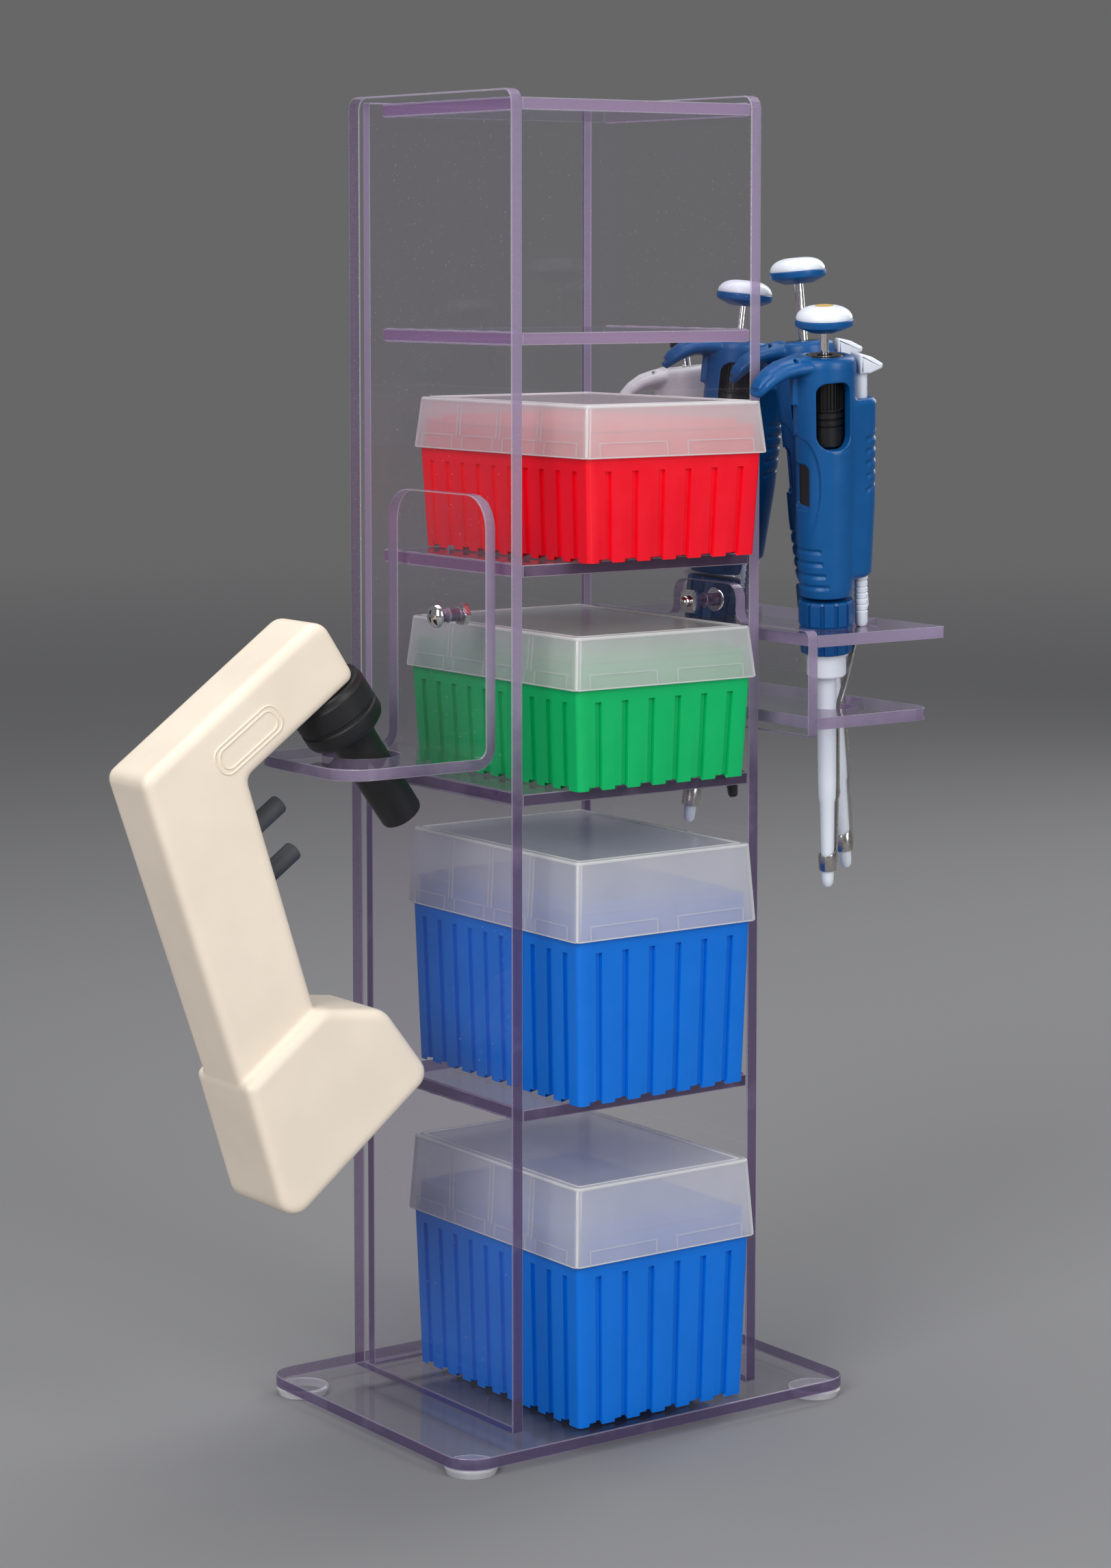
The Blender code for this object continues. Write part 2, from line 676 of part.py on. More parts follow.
def make_plunger(pipette, name, top, lift, button_radius, colour):
    """The push button on its steel rod."""
    base = top + 8.0 + lift
    button = [
        (0, base + 10.6),
        (button_radius * 0.4, base + 10.2),
        (button_radius * 0.75, base + 8.2),
        (button_radius, base + 4.6),
        (button_radius, base + 2.6),
        (button_radius * 0.9, base + 0.8),
        (button_radius * 0.5, base),
        (ROD_RADIUS, base),
    ]
    rod_end = top - 41.0 + lift
    rod = [(ROD_RADIUS, rod_end), (0, rod_end)]
    finish(turned(name + "_plunger", button + rod, pipette, steps=20), colour)


def make_knob(pipette, name, top):
    """The volume knob behind the handle's window, free on the rod."""
    low, high = top - KNOB_HEIGHT, top
    groove = low + 14.5
    profile = [
        (KNOB_BORE, high),
        (KNOB_RADIUS - 1.0, high),
        (KNOB_RADIUS, high - 1.0),
        (KNOB_RADIUS, groove + 0.7),
        (KNOB_RADIUS - 0.5, groove),
        (KNOB_RADIUS, groove - 0.7),
        (KNOB_RADIUS, low + 1.0),
        (KNOB_RADIUS - 1.0, low),
        (KNOB_BORE, low),
        (KNOB_BORE, high),
    ]
    finish(turned(name + "_volume_knob", profile, pipette, steps=20), "black")


def make_ejector(pipette, name, top, colour, short):
    """The thumb button with its stem and sleeve, and the steel strip."""
    profile = [
        (0, top - 4.0),
        (2.6, top - 4.0),
        (2.6, 19.0),
        (2.6, 0.2),
        (1.9, -0.6),
        (0, -0.6),
    ]
    button = turned(name + "_ejector_button", profile, pipette, (EJECTOR_X, 0, 0), steps=16)
    pad = [
        (12.4, top - 8.6, 1),
        (18.0, top - 8.6, 1),
        (21.8, top - 5.5, 1.5),
        (21.0, top - 3.6, 1),
        (15.2, top - 0.4, 2),
        (14.4, top - 0.6, 0),
        (14.4, top - 7.0, 0),
        (12.4, top - 7.2, 0),
    ]
    join(button, sheet(name + "_pad", "XZ", pad, -4.4, 4.4, pipette, 2))
    finish(button, colour)

    # The strip leaves the sleeve, bends in past the collar and follows the shaft.
    path = [
        (14.4, -1.0),
        (12.8, -6.0),
        (10.8, -13.0),
        (9.5, -19.0),
        (7.2, -26.0),
        (5.2, -32.5),
        (4.7, -38.0),
        (4.7, -62.0 + short),
        (3.65, -86.0 + short),
        (3.55, -94.0 + short),
    ]
    half = 0.4
    outline = [(x + half, z, 0) for x, z in path] + [(x - half, z, 0) for x, z in reversed(path)]
    strip = sheet(name + "_ejector_strip", "XZ", outline, -1.6, 1.6, pipette)
    low, high = -96.8 + short, -90.2 + short
    ring = turned(
        name + "_ring",
        [(3.2, high), (3.9, high), (3.9, low), (3.2, low), (3.2, high)],
        pipette,
        steps=20,
    )
    join(strip, ring)
    finish(strip, "steel")


def make_pipette(pipette, name, lift, short):
    """The fourth pipette is the pale one: shorter, and with no knob."""
    pale = name == "pipette_4"
    top = 102.0 if pale else 109.9
    make_handle(pipette, name, "grey" if pale else "pipette_blue", top, not pale)
    make_barrel(pipette, name, "white", short)
    if pale:
        make_plunger(pipette, name, top, lift, 6.0, "black")
    else:
        make_plunger(pipette, name, top, lift, 11.5, "white")
        make_knob(pipette, name, top)
    make_ejector(pipette, name, top, "white", short)


# -------------------------------------------------------------------- set

clear_scene()
PARTS = new_collection("pipette_set")
CUTTERS = new_collection("cutters")


def make_set():
    tower = frame("tower", None, (TOWER_X, TOWER_Y, BASE_TOP))
    make_base(tower)
    make_panels(tower)
    for tip_box in TIP_BOXES:
        make_tip_box(tower, *tip_box)
    make_bracket(tower)
    make_controller(tower)
    frames = []
    for name, x, y, lean, tilt, turn, rise, lift, short in PIPETTES:
        pipette = pipette_frame(tower, name, x, y, lean, tilt, turn, rise)
        make_pipette(pipette, name, lift, short)
        frames.append((pipette, rise))
    make_rack(tower, frames)


make_set()
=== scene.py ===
"""The looks of the pipette set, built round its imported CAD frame.

Sizes are in millimetres, in the tower's frame: X runs to the pipette rack, -Y is the
open front, Z is up from the top of the base plate. A pipette's own frame has its
axis as Z, its finger hook on -X and its ejector on +X, with Z = 0 level with the top
of the rack's upper plate.
"""

import json
import math

import bmesh
import bpy
from mathutils import Matrix, Quaternion, Vector

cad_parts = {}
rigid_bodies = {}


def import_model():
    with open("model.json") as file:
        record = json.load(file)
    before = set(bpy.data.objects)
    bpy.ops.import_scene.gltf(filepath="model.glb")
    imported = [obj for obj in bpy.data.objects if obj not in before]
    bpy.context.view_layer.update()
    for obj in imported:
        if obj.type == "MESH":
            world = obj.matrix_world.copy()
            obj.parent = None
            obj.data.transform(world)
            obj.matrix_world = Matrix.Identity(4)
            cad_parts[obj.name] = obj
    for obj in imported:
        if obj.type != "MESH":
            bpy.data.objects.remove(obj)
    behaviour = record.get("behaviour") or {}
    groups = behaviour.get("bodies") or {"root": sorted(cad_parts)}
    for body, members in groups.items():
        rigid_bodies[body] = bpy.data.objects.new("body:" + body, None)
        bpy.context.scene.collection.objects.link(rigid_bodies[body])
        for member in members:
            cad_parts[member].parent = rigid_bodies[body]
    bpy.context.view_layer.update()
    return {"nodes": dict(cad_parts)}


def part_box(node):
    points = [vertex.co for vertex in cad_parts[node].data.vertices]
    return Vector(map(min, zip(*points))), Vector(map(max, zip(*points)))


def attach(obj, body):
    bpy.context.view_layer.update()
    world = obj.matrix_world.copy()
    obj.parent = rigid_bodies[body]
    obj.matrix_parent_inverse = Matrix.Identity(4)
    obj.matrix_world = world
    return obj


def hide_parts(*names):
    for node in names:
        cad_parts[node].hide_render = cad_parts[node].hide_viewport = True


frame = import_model()
MM = 0.001
FLAT = 0.8  # a face whose normal's part along an axis is above this faces that way

# The tower's middle, from the frame.
FRONT_Y = -56.2
LEFT_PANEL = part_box("side_panel_left")
RIGHT_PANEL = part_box("side_panel_right")
TOWER = Vector(
    (
        (LEFT_PANEL[0].x + RIGHT_PANEL[1].x) / 2,
        LEFT_PANEL[0].y - FRONT_Y * MM,
        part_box("base_plate")[1].z,
    )
)

# Name, floor level, height, skirt height, shift in X and Y, colour
TIP_BOXES = (
    ("blue_lower", 0.0, 95.4, 30.8, 0.0, 0.0, "blue"),
    ("blue_upper", 126.5, 95.4, 30.8, 0.0, 0.0, "blue"),
    ("green", 248.4, 59.6, 20.3, 0.0, 0.5, "green"),
    ("red", 335.9, 60.2, 20.3, 2.0, -3.0, "red"),
)
BOX_CENTRE = (4.5, -11.0)
BOX_GAP = 0.3
LID_BOTTOM = (88.0, 118.0)
LID_TOP = (84.6, 114.6)
TUB_BOTTOM = (80.0, 111.0)
TUB_SHOULDER = (84.2, 114.4)
RIM_SIZE = (80.8, 110.8)
RIM_HEIGHT = 9.5
LONG_GROOVES = 10
SHORT_GROOVES = 6
GROOVE_HALF = 1.45
GROOVE_DEPTH = 1.5

# Name, X, Y, lean to the right, tilt to the front left, turn of the hook, rise above
# the first one's seat, plunger lift, and how much shorter the shaft is
PIPETTES = (
    ("pipette_1", 89.4, -62.1, -1.25, 7.2, 15.0, 0.0, 1.0, -4.0),
    ("pipette_2", 108.6, -38.9, -5.0, 0.0, 33.0, 4.2, 15.0, -2.6),
    ("pipette_3", 86.0, 8.5, 5.85, 0.0, 30.0, 4.2, 5.8, 12.4),
    ("pipette_4", 110.0, 38.0, -6.4, 0.0, 35.0, 0.0, -2.0, 21.4),
)
LEAN_WAY = Vector((0.814, -0.581, 0.0))
UPPER_TOP = 304.7
HANDLE_TOP = 109.9
PALE_TOP = 102.0
HANDLE_RADIUS = 12.6
EJECTOR_X = 15.4
KNOB_RADIUS = 7.7
KNOB_RIBS = 34
LOBE_X = 14.2
BUTTON_RADIUS = 11.5
PALE_BUTTON_RADIUS = 6.0
BUTTON_REST = 8.0  # a button's foot above the handle, for a plunger at rest
ROD_RADIUS = 1.75
DISPLAY_Z = 58.3

# Controller
GRIP_Y = -8.0
GRIP_THICK = 30.0
FOOT_THICK = 40.0
ARM_ANGLE = math.radians(35.4)
ALONG_ARM = Vector((math.cos(ARM_ANGLE), 0, math.sin(ARM_ANGLE)))
DOWN_NOSE = Vector((math.sin(ARM_ANGLE), 0, -math.cos(ARM_ANGLE)))
NOSE_ROOT = Vector((-94.75, GRIP_Y, 260.7)) - DOWN_NOSE * 34.5
BUTTONS = (("aspirate", -133.1, 246.5), ("dispense", -126.8, 228.1))

# Camera
CAMERA_PLACE = (-860.6, -1203.4, 451.5)
CAMERA_PITCH = 5.18
CAMERA_HEADING = 35.594
CAMERA_LENS = 85.475
CAMERA_SHIFT = -0.12

# Stage
FLOOR_COLOUR = (0.235, 0.235, 0.24)
FLOOR_RADIUS = 6.0
FADE_START = 0.9
FADE_END = 4.5
BACKDROP = (0.135, 0.135, 0.138, 1)
SOFT_LIGHT = (0.9, 0.92, 1.0, 1)
SOFT_STRENGTH = 0.20
LIGHT_TARGET = Vector((0, 0, 0.26))


def tower(x, y, z):
    """A point in the tower's frame, in metres in the set's own frame."""
    return TOWER + Vector((x, y, z)) * MM


# ----------------------------------------------------------- mesh helpers


def ring_of(points, bm):
    return [bm.verts.new(point) for point in points]


def bridge(bm, lower, upper):
    """Quads between two closed rings; a ring of one vertex is a pole."""
    count = max(len(lower), len(upper))
    for i in range(count):
        j = (i + 1) % count
        corners = []
        for ring, order in ((lower, (i, j)), (upper, (j, i))):
            corners += [ring[0]] if len(ring) == 1 else [ring[k] for k in order]
        bm.faces.new(corners)


def loft(rings, cap=(True, True)):
    """A surface through closed rings of points, capped at its ends."""
    bm = bmesh.new()
    made = [ring_of(points, bm) for points in rings]
    for lower, upper in zip(made, made[1:]):
        bridge(bm, lower, upper)
    for end, wanted in ((made[0], cap[0]), (made[-1], cap[1])):
        if wanted and len(end) > 2:
            bm.faces.new(end)
    bmesh.ops.recalc_face_normals(bm, faces=bm.faces)
    return bm


def circle(radius, z, steps=48):
    if radius == 0:
        return [Vector((0, 0, z))]
    turns = [2 * math.pi * i / steps for i in range(steps)]
    return [Vector((radius * math.cos(t), radius * math.sin(t), z)) for t in turns]


def lathe(profile, steps=48):
    """A solid turned about Z from (radius, height) points."""
    return loft([circle(radius, z, steps) for radius, z in profile])


def rounded_box_ring(half_x, half_y, radius, z, steps=5):
    """A rectangle with round corners, as a ring of points."""
    points = []
    for quarter, (sign_x, sign_y) in enumerate(((1, 1), (-1, 1), (-1, -1), (1, -1))):
        for step in range(steps + 1):
            angle = (quarter + step / steps) * math.pi / 2
            x = sign_x * (half_x - radius) + radius * math.cos(angle)
            y = sign_y * (half_y - radius) + radius * math.sin(angle)
            points.append(Vector((x, y, z)))
    return points


def rounded_block(size, centre, bevel):
    """A box whose edges are bevelled."""
    bm = bmesh.new()
    bmesh.ops.create_cube(bm, size=1.0)
    for vertex in bm.verts:
        vertex.co = Vector(a * b for a, b in zip(vertex.co, size)) + Vector(centre)
    if bevel:
        bmesh.ops.bevel(bm, geom=bm.edges, offset=bevel, segments=2, affect="EDGES")
    return bm


def filleted(corners, steps=5):
    """Points of a closed outline whose (a, b, radius) corners are rounded."""
    points = []
    count = len(corners)
    for i, (a, b, radius) in enumerate(corners):
        here = Vector((a, b))
        if not radius:
            points.append(here)
            continue
        back = (Vector(corners[i - 1][:2]) - here).normalized()
        ahead = (Vector(corners[(i + 1) % count][:2]) - here).normalized()
        half = back.angle(ahead) / 2
        centre = here + (back + ahead).normalized() * radius / math.sin(half)
        first = here + back * radius / math.tan(half) - centre
        last = here + ahead * radius / math.tan(half) - centre
        sweep = first.angle_signed(last)
        for step in range(steps + 1):
            points.append(centre + Matrix.Rotation(-sweep * step / steps, 2) @ first)
    return points


def slab(corners, low, high, bevel=0.0, segments=4, steps=5):
    """An XZ outline from Y = low to high, with its two rims rounded."""
    outline = filleted(corners, steps)
    rings = [[Vector((p.x, y, p.y)) for p in outline] for y in (low, high)]
    bm = loft(rings)
    if bevel:
        rims = [e for e in bm.edges if abs(e.verts[0].co.y - e.verts[1].co.y) < 1e-6]
        bmesh.ops.bevel(
            bm, geom=rims, offset=bevel, segments=segments, profile=0.5, affect="EDGES"
        )
    return bm


def tube(path, radius, closed=False, steps=10):
    """A round bar along a path; radius is one number or one for each point."""
    count = len(path)
    radii = radius if isinstance(radius, (list, tuple)) else [radius] * count
    rings = []
    side = None
    for i, point in enumerate(path):
        ahead = path[(i + 1) % count] if closed or i + 1 < count else point
        behind = path[i - 1] if closed or i > 0 else point
        way = (ahead - behind).normalized()
        if side is None:
            side = way.orthogonal().normalized()
        side = (side - way * side.dot(way)).normalized()
        other = way.cross(side)
        ring = []
        for k in range(steps):
            turn = 2 * math.pi * k / steps
            ring.append(point + (side * math.cos(turn) + other * math.sin(turn)) * radii[i])
        rings.append(ring)
    if closed:
        rings.append(rings[0])
        bm = loft(rings, (False, False))
        bmesh.ops.remove_doubles(bm, verts=bm.verts, dist=1e-5)
        return bm
    return loft(rings)


def merged(*parts):
    """One bmesh that holds all of these; the given ones are freed."""
    whole = bmesh.new()
    for part in parts:
        mesh = bpy.data.meshes.new("part")
        part.to_mesh(mesh)
        part.free()
        whole.from_mesh(mesh)
        bpy.data.meshes.remove(mesh)
    return whole


def moved(bm, matrix):
    bm.transform(matrix)
    return bm


def scratch(bm):
    """A temporary object of a bmesh, in millimetres."""
    mesh = bpy.data.meshes.new("scratch")
    bm.to_mesh(mesh)
    bm.free()
    obj = bpy.data.objects.new("scratch", mesh)
    bpy.context.scene.collection.objects.link(obj)
    return obj


def baked(obj):
    """Applies an object's modifiers and gives its mesh."""
    graph = bpy.context.evaluated_depsgraph_get()
    mesh = bpy.data.meshes.new_from_object(obj.evaluated_get(graph))
    obj.modifiers.clear()
    return mesh


def moulded(solids, cutters=(), voxel=0.6, soften=3):
    """Melts overlapping solids into one skin, cuts it and rounds every edge."""
    obj = scratch(merged(*solids))
    remesh = obj.modifiers.new("remesh", "REMESH")
    remesh.mode = "VOXEL"
    remesh.voxel_size = voxel
    for cutter in cutters:
        tool = scratch(cutter)
        tool.hide_render = True
        cut = obj.modifiers.new("cut", "BOOLEAN")
        cut.operation = "DIFFERENCE"
        cut.solver = "MANIFOLD"
        cut.object = tool
    if cutters:
        second = obj.modifiers.new("second", "REMESH")
        second.mode = "VOXEL"
        second.voxel_size = voxel * 0.9
    smooth = obj.modifiers.new("smooth", "SMOOTH")
    smooth.factor = 0.5
    smooth.iterations = soften
    mesh = baked(obj)
    for extra in [o for o in bpy.data.objects if o.name.startswith("scratch")]:
        bpy.data.objects.remove(extra)
    bm = bmesh.new()
    bm.from_mesh(mesh)
    return bm


def piece(name, bm, body, mat, matrix=None, replaces=(), sharp=35):
    """Turns a bmesh in millimetres into a piece that rides on a body."""
    if matrix is None:
        matrix = Matrix.Translation(TOWER)
    mesh = bpy.data.meshes.new(name)
    bm.transform(matrix @ Matrix.Scale(MM, 4))
    bm.to_mesh(mesh)
    bm.free()
    mesh.shade_smooth()
    if sharp:
        mesh.set_sharp_from_angle(angle=math.radians(sharp))
    mesh.materials.append(mat)
    obj = bpy.data.objects.new(name, mesh)
    bpy.context.scene.collection.objects.link(obj)
    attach(obj, body)
    if replaces:
        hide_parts(*replaces)
    return obj


# -------------------------------------------------------------- materials


class Nodes:
    """A material's node tree, with short ways to add and link nodes."""

    def __init__(self, name):
        self.material = bpy.data.materials.new(name)
        self.material.use_nodes = True
        self.tree = self.material.node_tree
        self.tree.nodes.clear()
        self.output = self.add("ShaderNodeOutputMaterial")
        self.place = self.add("ShaderNodeTexCoord").outputs["Object"]

    def add(self, kind, **settings):
        node = self.tree.nodes.new(kind)
        for key, value in settings.items():
            setattr(node, key, value)
        return node

    def shader(self, kind, colour=None, roughness=None):
        """A shader node with its colour or roughness set on its own sockets."""
        node = self.add("ShaderNodeBsdf" + kind)
        if colour:
            node.inputs["Color"].default_value = (*colour, 1)
        if roughness:
            node.inputs["Roughness"].default_value = roughness
        return node

    def link(self, source, target):
        self.tree.links.new(source, target)

    def noise(self, scale, detail=3.0):
        texture = self.add("ShaderNodeTexNoise")
        texture.inputs["Scale"].default_value = scale
        texture.inputs["Detail"].default_value = detail
        self.link(self.place, texture.inputs["Vector"])
        return texture.outputs["Fac"]

    def ramp(self, source, stops):
        """A colour ramp with (position, colour or grey value) stops."""
        node = self.add("ShaderNodeValToRGB")
        elements = node.color_ramp.elements
        for i, (position, colour) in enumerate(stops):
            element = elements[i] if i < 2 else elements.new(position)
            element.position = position
            grey = isinstance(colour, (int, float))
            element.color = (colour, colour, colour, 1) if grey else (*colour, 1)
        self.link(source, node.inputs["Fac"])
        return node.outputs["Color"]

    def bump(self, height, strength, distance=0.0002):
        node = self.add("ShaderNodeBump")
        node.inputs["Strength"].default_value = strength
        node.inputs["Distance"].default_value = distance
        self.link(height, node.inputs["Height"])
        return node.outputs["Normal"]

    def mix(self, factor, first, second):
        node = self.add("ShaderNodeMixShader")
        if isinstance(factor, (int, float)):
            node.inputs["Fac"].default_value = factor
        else:
            self.link(factor, node.inputs["Fac"])
        self.link(first, node.inputs[1])
        self.link(second, node.inputs[2])
        return node.outputs["Shader"]

    def fresnel(self, ior):
        """A mirror share that is the same from both sides of a sheet."""
        back = self.add("ShaderNodeNewGeometry").outputs["Backfacing"]
        scale = self.add("ShaderNodeMath", operation="MULTIPLY_ADD")
        scale.inputs[1].default_value = 1 / ior - ior
        scale.inputs[2].default_value = ior
        self.link(back, scale.inputs[0])
        node = self.add("ShaderNodeFresnel")
        self.link(scale.outputs["Value"], node.inputs["IOR"])
        return node.outputs["Fac"]

    def finish(self, shader):
        self.link(shader, self.output.inputs["Surface"])
        return self.material


def plastic(name, colour, roughness, grain=0.05, tone=0.06, grain_scale=2500.0, gloss=0.35):
    """Moulded plastic: a faint change of tone, a fine grain and a little gloss."""
    n = Nodes(name)
    shader = n.add("ShaderNodeBsdfPrincipled")
    dark = [c * (1 - tone) for c in colour]
    light = [min(1.0, c * (1 + tone)) for c in colour]
    n.link(n.ramp(n.noise(30.0), ((0.35, dark), (0.65, light))), shader.inputs["Base Color"])
    wear = n.ramp(n.noise(120.0, 5.0), ((0.3, roughness * 0.85), (0.7, roughness * 1.15)))
    n.link(wear, shader.inputs["Roughness"])
    shader.inputs["Specular IOR Level"].default_value = gloss
    n.link(n.bump(n.noise(grain_scale, 2.0), grain), shader.inputs["Normal"])
    return n.finish(shader.outputs["BSDF"])


def metal(name, colour, roughness):
    """Bare metal with fine wear in its tone and gloss."""
    n = Nodes(name)
    shader = n.add("ShaderNodeBsdfPrincipled")
    shader.inputs["Metallic"].default_value = 1.0
    dark = [c * 0.8 for c in colour]
    brushed = n.noise(900.0, 4.0)
    n.link(n.ramp(brushed, ((0.3, dark), (0.7, colour))), shader.inputs["Base Color"])
    wear = n.ramp(brushed, ((0.3, roughness * 0.7), (0.7, roughness * 1.4)))
    n.link(wear, shader.inputs["Roughness"])
    n.link(n.bump(brushed, 0.08), shader.inputs["Normal"])
    return n.finish(shader.outputs["BSDF"])


def acrylic_face(name, tint, haze, ior=1.28):
    """A clear sheet's face: it mirrors a little, and dust and smears show on it."""
    n = Nodes(name)
    clear = n.shader("Transparent", tint)
    mirror = n.shader("Anisotropic", None, 0.02)
    dust = n.shader("Diffuse", (0.8, 0.78, 0.84))
    specks = n.ramp(n.noise(900.0, 1.0), ((0.74, 0.0), (0.78, haze * 60)))
    smears = n.ramp(n.noise(40.0, 4.0), ((0.3, haze * 0.4), (0.75, haze)))
    total = n.add("ShaderNodeMath", operation="ADD")
    n.link(specks, total.inputs[0])
    n.link(smears, total.inputs[1])
    body = n.mix(total.outputs["Value"], clear.outputs["BSDF"], dust.outputs["BSDF"])
    return n.finish(n.mix(n.fresnel(ior), body, mirror.outputs["BSDF"]))


def acrylic_edge(name, dark, light, opacity, saw, level=0.27):
    """A clear sheet's cut edge, where its violet tint gathers; saw marks speckle it.

    Painted shade: it is dark below the level, in metres above the bench, and light above it."""
    n = Nodes(name)
    # Painted shade: the edge's colour is made darker low down and lighter high up, by height
    # alone.
    height = n.add("ShaderNodeSeparateXYZ")
    n.link(n.add("ShaderNodeNewGeometry").outputs["Position"], height.inputs["Vector"])
    rise = n.add("ShaderNodeMapRange")
    rise.inputs["From Min"].default_value = level - 0.03
    rise.inputs["From Max"].default_value = level + 0.03
    rise.inputs["To Max"].default_value = 0.5
    n.link(height.outputs["Z"], rise.inputs["Value"])
    total = n.add("ShaderNodeMath", operation="MULTIPLY_ADD")
    total.inputs[1].default_value = 0.6
    n.link(n.noise(45.0, 4.0), total.inputs[0])
    n.link(rise.outputs["Result"], total.inputs[2])
    colour = n.ramp(total.outputs["Value"], ((0.34, dark), (0.72, light)))
    glow = n.shader("Translucent")
    face = n.shader("Diffuse")
    n.link(colour, glow.inputs["Color"])
    n.link(colour, face.inputs["Color"])
    clear = n.shader("Transparent", (0.62, 0.5, 0.70))
    mirror = n.shader("Anisotropic", None, 0.12)
    marks = n.noise(2200.0, 2.0)
    normal = n.bump(marks, saw, 0.0003)
    for shader in (face, glow, mirror):
        n.link(normal, shader.inputs["Normal"])
    body = n.mix(0.45, face.outputs["BSDF"], glow.outputs["BSDF"])
    specks = n.ramp(marks, ((0.62, opacity), (0.74, 1.0)))
    body = n.mix(specks, clear.outputs["BSDF"], body)
    return n.finish(n.mix(n.fresnel(1.49), body, mirror.outputs["BSDF"]))


def frosted(name, colour, opacity, roughness):
    """Milky polypropylene that lets colour through."""
    n = Nodes(name)
    clear = n.shader("Transparent", (0.97, 0.97, 0.97))
    glow = n.shader("Translucent", colour)
    face = n.shader("Diffuse", colour)
    mirror = n.shader("Anisotropic", None, roughness)
    normal = n.bump(n.noise(1800.0, 2.0), 0.06)
    n.link(normal, mirror.inputs["Normal"])
    body = n.mix(0.5, face.outputs["BSDF"], glow.outputs["BSDF"])
    cloud = n.ramp(n.noise(25.0, 3.0), ((0.3, opacity * 0.9), (0.7, opacity * 1.1)))
    body = n.mix(cloud, clear.outputs["BSDF"], body)
    return n.finish(n.mix(n.fresnel(1.5), body, mirror.outputs["BSDF"]))


CLEAR = acrylic_face("acrylic_face", (0.985, 0.975, 0.99), 0.003)
# Every edge material carries painted shade: dark below its level and light above it.
EDGE = acrylic_edge("acrylic_edge", (0.13, 0.095, 0.19), (0.50, 0.41, 0.59), 0.75, 0.2)
# The shelf fronts' painted shade turns from dark to light higher up, at 0.385 m.
FRONT = acrylic_edge("shelf_edge", (0.13, 0.09, 0.17), (0.48, 0.36, 0.54), 0.8, 0.2, 0.385)
SAWN = acrylic_edge("acrylic_sawn_edge", (0.10, 0.05, 0.15), (0.36, 0.22, 0.42), 0.8, 0.6)
FAR = acrylic_edge("acrylic_far_edge", (0.16, 0.12, 0.20), (0.42, 0.36, 0.48), 0.3, 0.1)
# Paler than the edges: a painted highlight for the glints along the rounded edges and the weld
# beads.
PAINTED_HIGHLIGHT_RIM = acrylic_edge("acrylic_rim", (0.52, 0.46, 0.60), (0.82, 0.78, 0.88), 0.5, 0.1)
FOOT = frosted("foot_clear", (0.80, 0.80, 0.83), 0.35, 0.12)
FOOT_RIM = frosted("foot_rim", (0.95, 0.95, 0.97), 0.8, 0.12)
FROST = frosted("lid_frosted", (0.95, 0.94, 0.96), 0.44, 0.25)
FROST_EDGE = frosted("lid_edge", (0.98, 0.98, 0.98), 0.85, 0.25)
FROST_RIB = frosted("lid_rib", (0.95, 0.95, 0.97), 0.45, 0.25)
TUB = {
    "red": plastic("tub_red", (0.93, 0.002, 0.018), 0.40, 0.04, 0.03),
    "green": plastic("tub_green", (0.0, 0.46, 0.13), 0.40, 0.04, 0.03),
    "blue": plastic("tub_blue", (0.0, 0.165, 0.70), 0.40, 0.04, 0.03),
}
PIPETTE_BLUE = plastic("pipette_blue", (0.002, 0.085, 0.275), 0.36, 0.10, 0.05)
NUT_BLUE = plastic("nut_blue", (0.002, 0.07, 0.24), 0.32, 0.06, 0.05)
WHITE = plastic("white_plastic", (0.76, 0.80, 0.87), 0.30, 0.04, 0.02)
PALE = plastic("pale_plastic", (0.70, 0.70, 0.71), 0.30, 0.05, 0.02)
IVORY = plastic("ivory_plastic", (0.88, 0.77, 0.63), 0.45, 0.12, 0.03, 1500.0)
BLACK = plastic("black_plastic", (0.010, 0.010, 0.011), 0.32, 0.08, 0.2)
RUBBER = plastic("black_rubber", (0.014, 0.014, 0.015), 0.48, 0.2, 0.2)
GREY = plastic("grey_rubber", (0.055, 0.060, 0.068), 0.60, 0.25, 0.35)
YELLOW = plastic("yellow_dot", (0.55, 0.35, 0.09), 0.4, 0.05, 0.05)
STEEL = metal("steel", (0.66, 0.63, 0.58), 0.20)
CHROME = metal("chrome", (0.90, 0.88, 0.85), 0.08)


# ---------------------------------------------------------- acrylic sheets

# Each sheet's node and the axis that its two faces look along.
SHEETS = {
    "base_plate": 2,
    "side_panel_left": 0,
    "side_panel_right": 0,
    "back_panel": 1,
    "rack_plate": 0,
    "rack_upper_plate": 2,
    "rack_lower_plate": 2,
}
for number in range(1, 6):
    SHEETS[f"shelf_{number}"] = 2


def soften_edges(node, width, segments=2, angle=35, rim=-1):
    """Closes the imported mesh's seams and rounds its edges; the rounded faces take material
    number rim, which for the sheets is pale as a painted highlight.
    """
    weld = node.modifiers.new("weld", "WELD")
    weld.merge_threshold = 0.00001
    bevel = node.modifiers.new("bevel", "BEVEL")
    bevel.width = width * MM
    bevel.segments = segments
    bevel.limit_method = "ANGLE"
    bevel.material = rim
    bevel.angle_limit = math.radians(angle)


def dress(name, materials, pick):
    """Gives a CAD node its materials; pick says which one a face takes."""
    node = frame["nodes"][name]
    node.data.materials.clear()
    for mat in materials:
        node.data.materials.append(mat)
    for face in node.data.polygons:
        face.material_index = pick(face)
    return node


def sheet_side(face, axis):
    """Picks a sheet's face, front edge, far edge or sawn end."""
    if abs(face.normal[axis]) > FLAT:
        return 0
    if face.normal.y > 0.5:
        return 3
    return 4 if axis == 2 and abs(face.normal.x) > 0.5 else 1


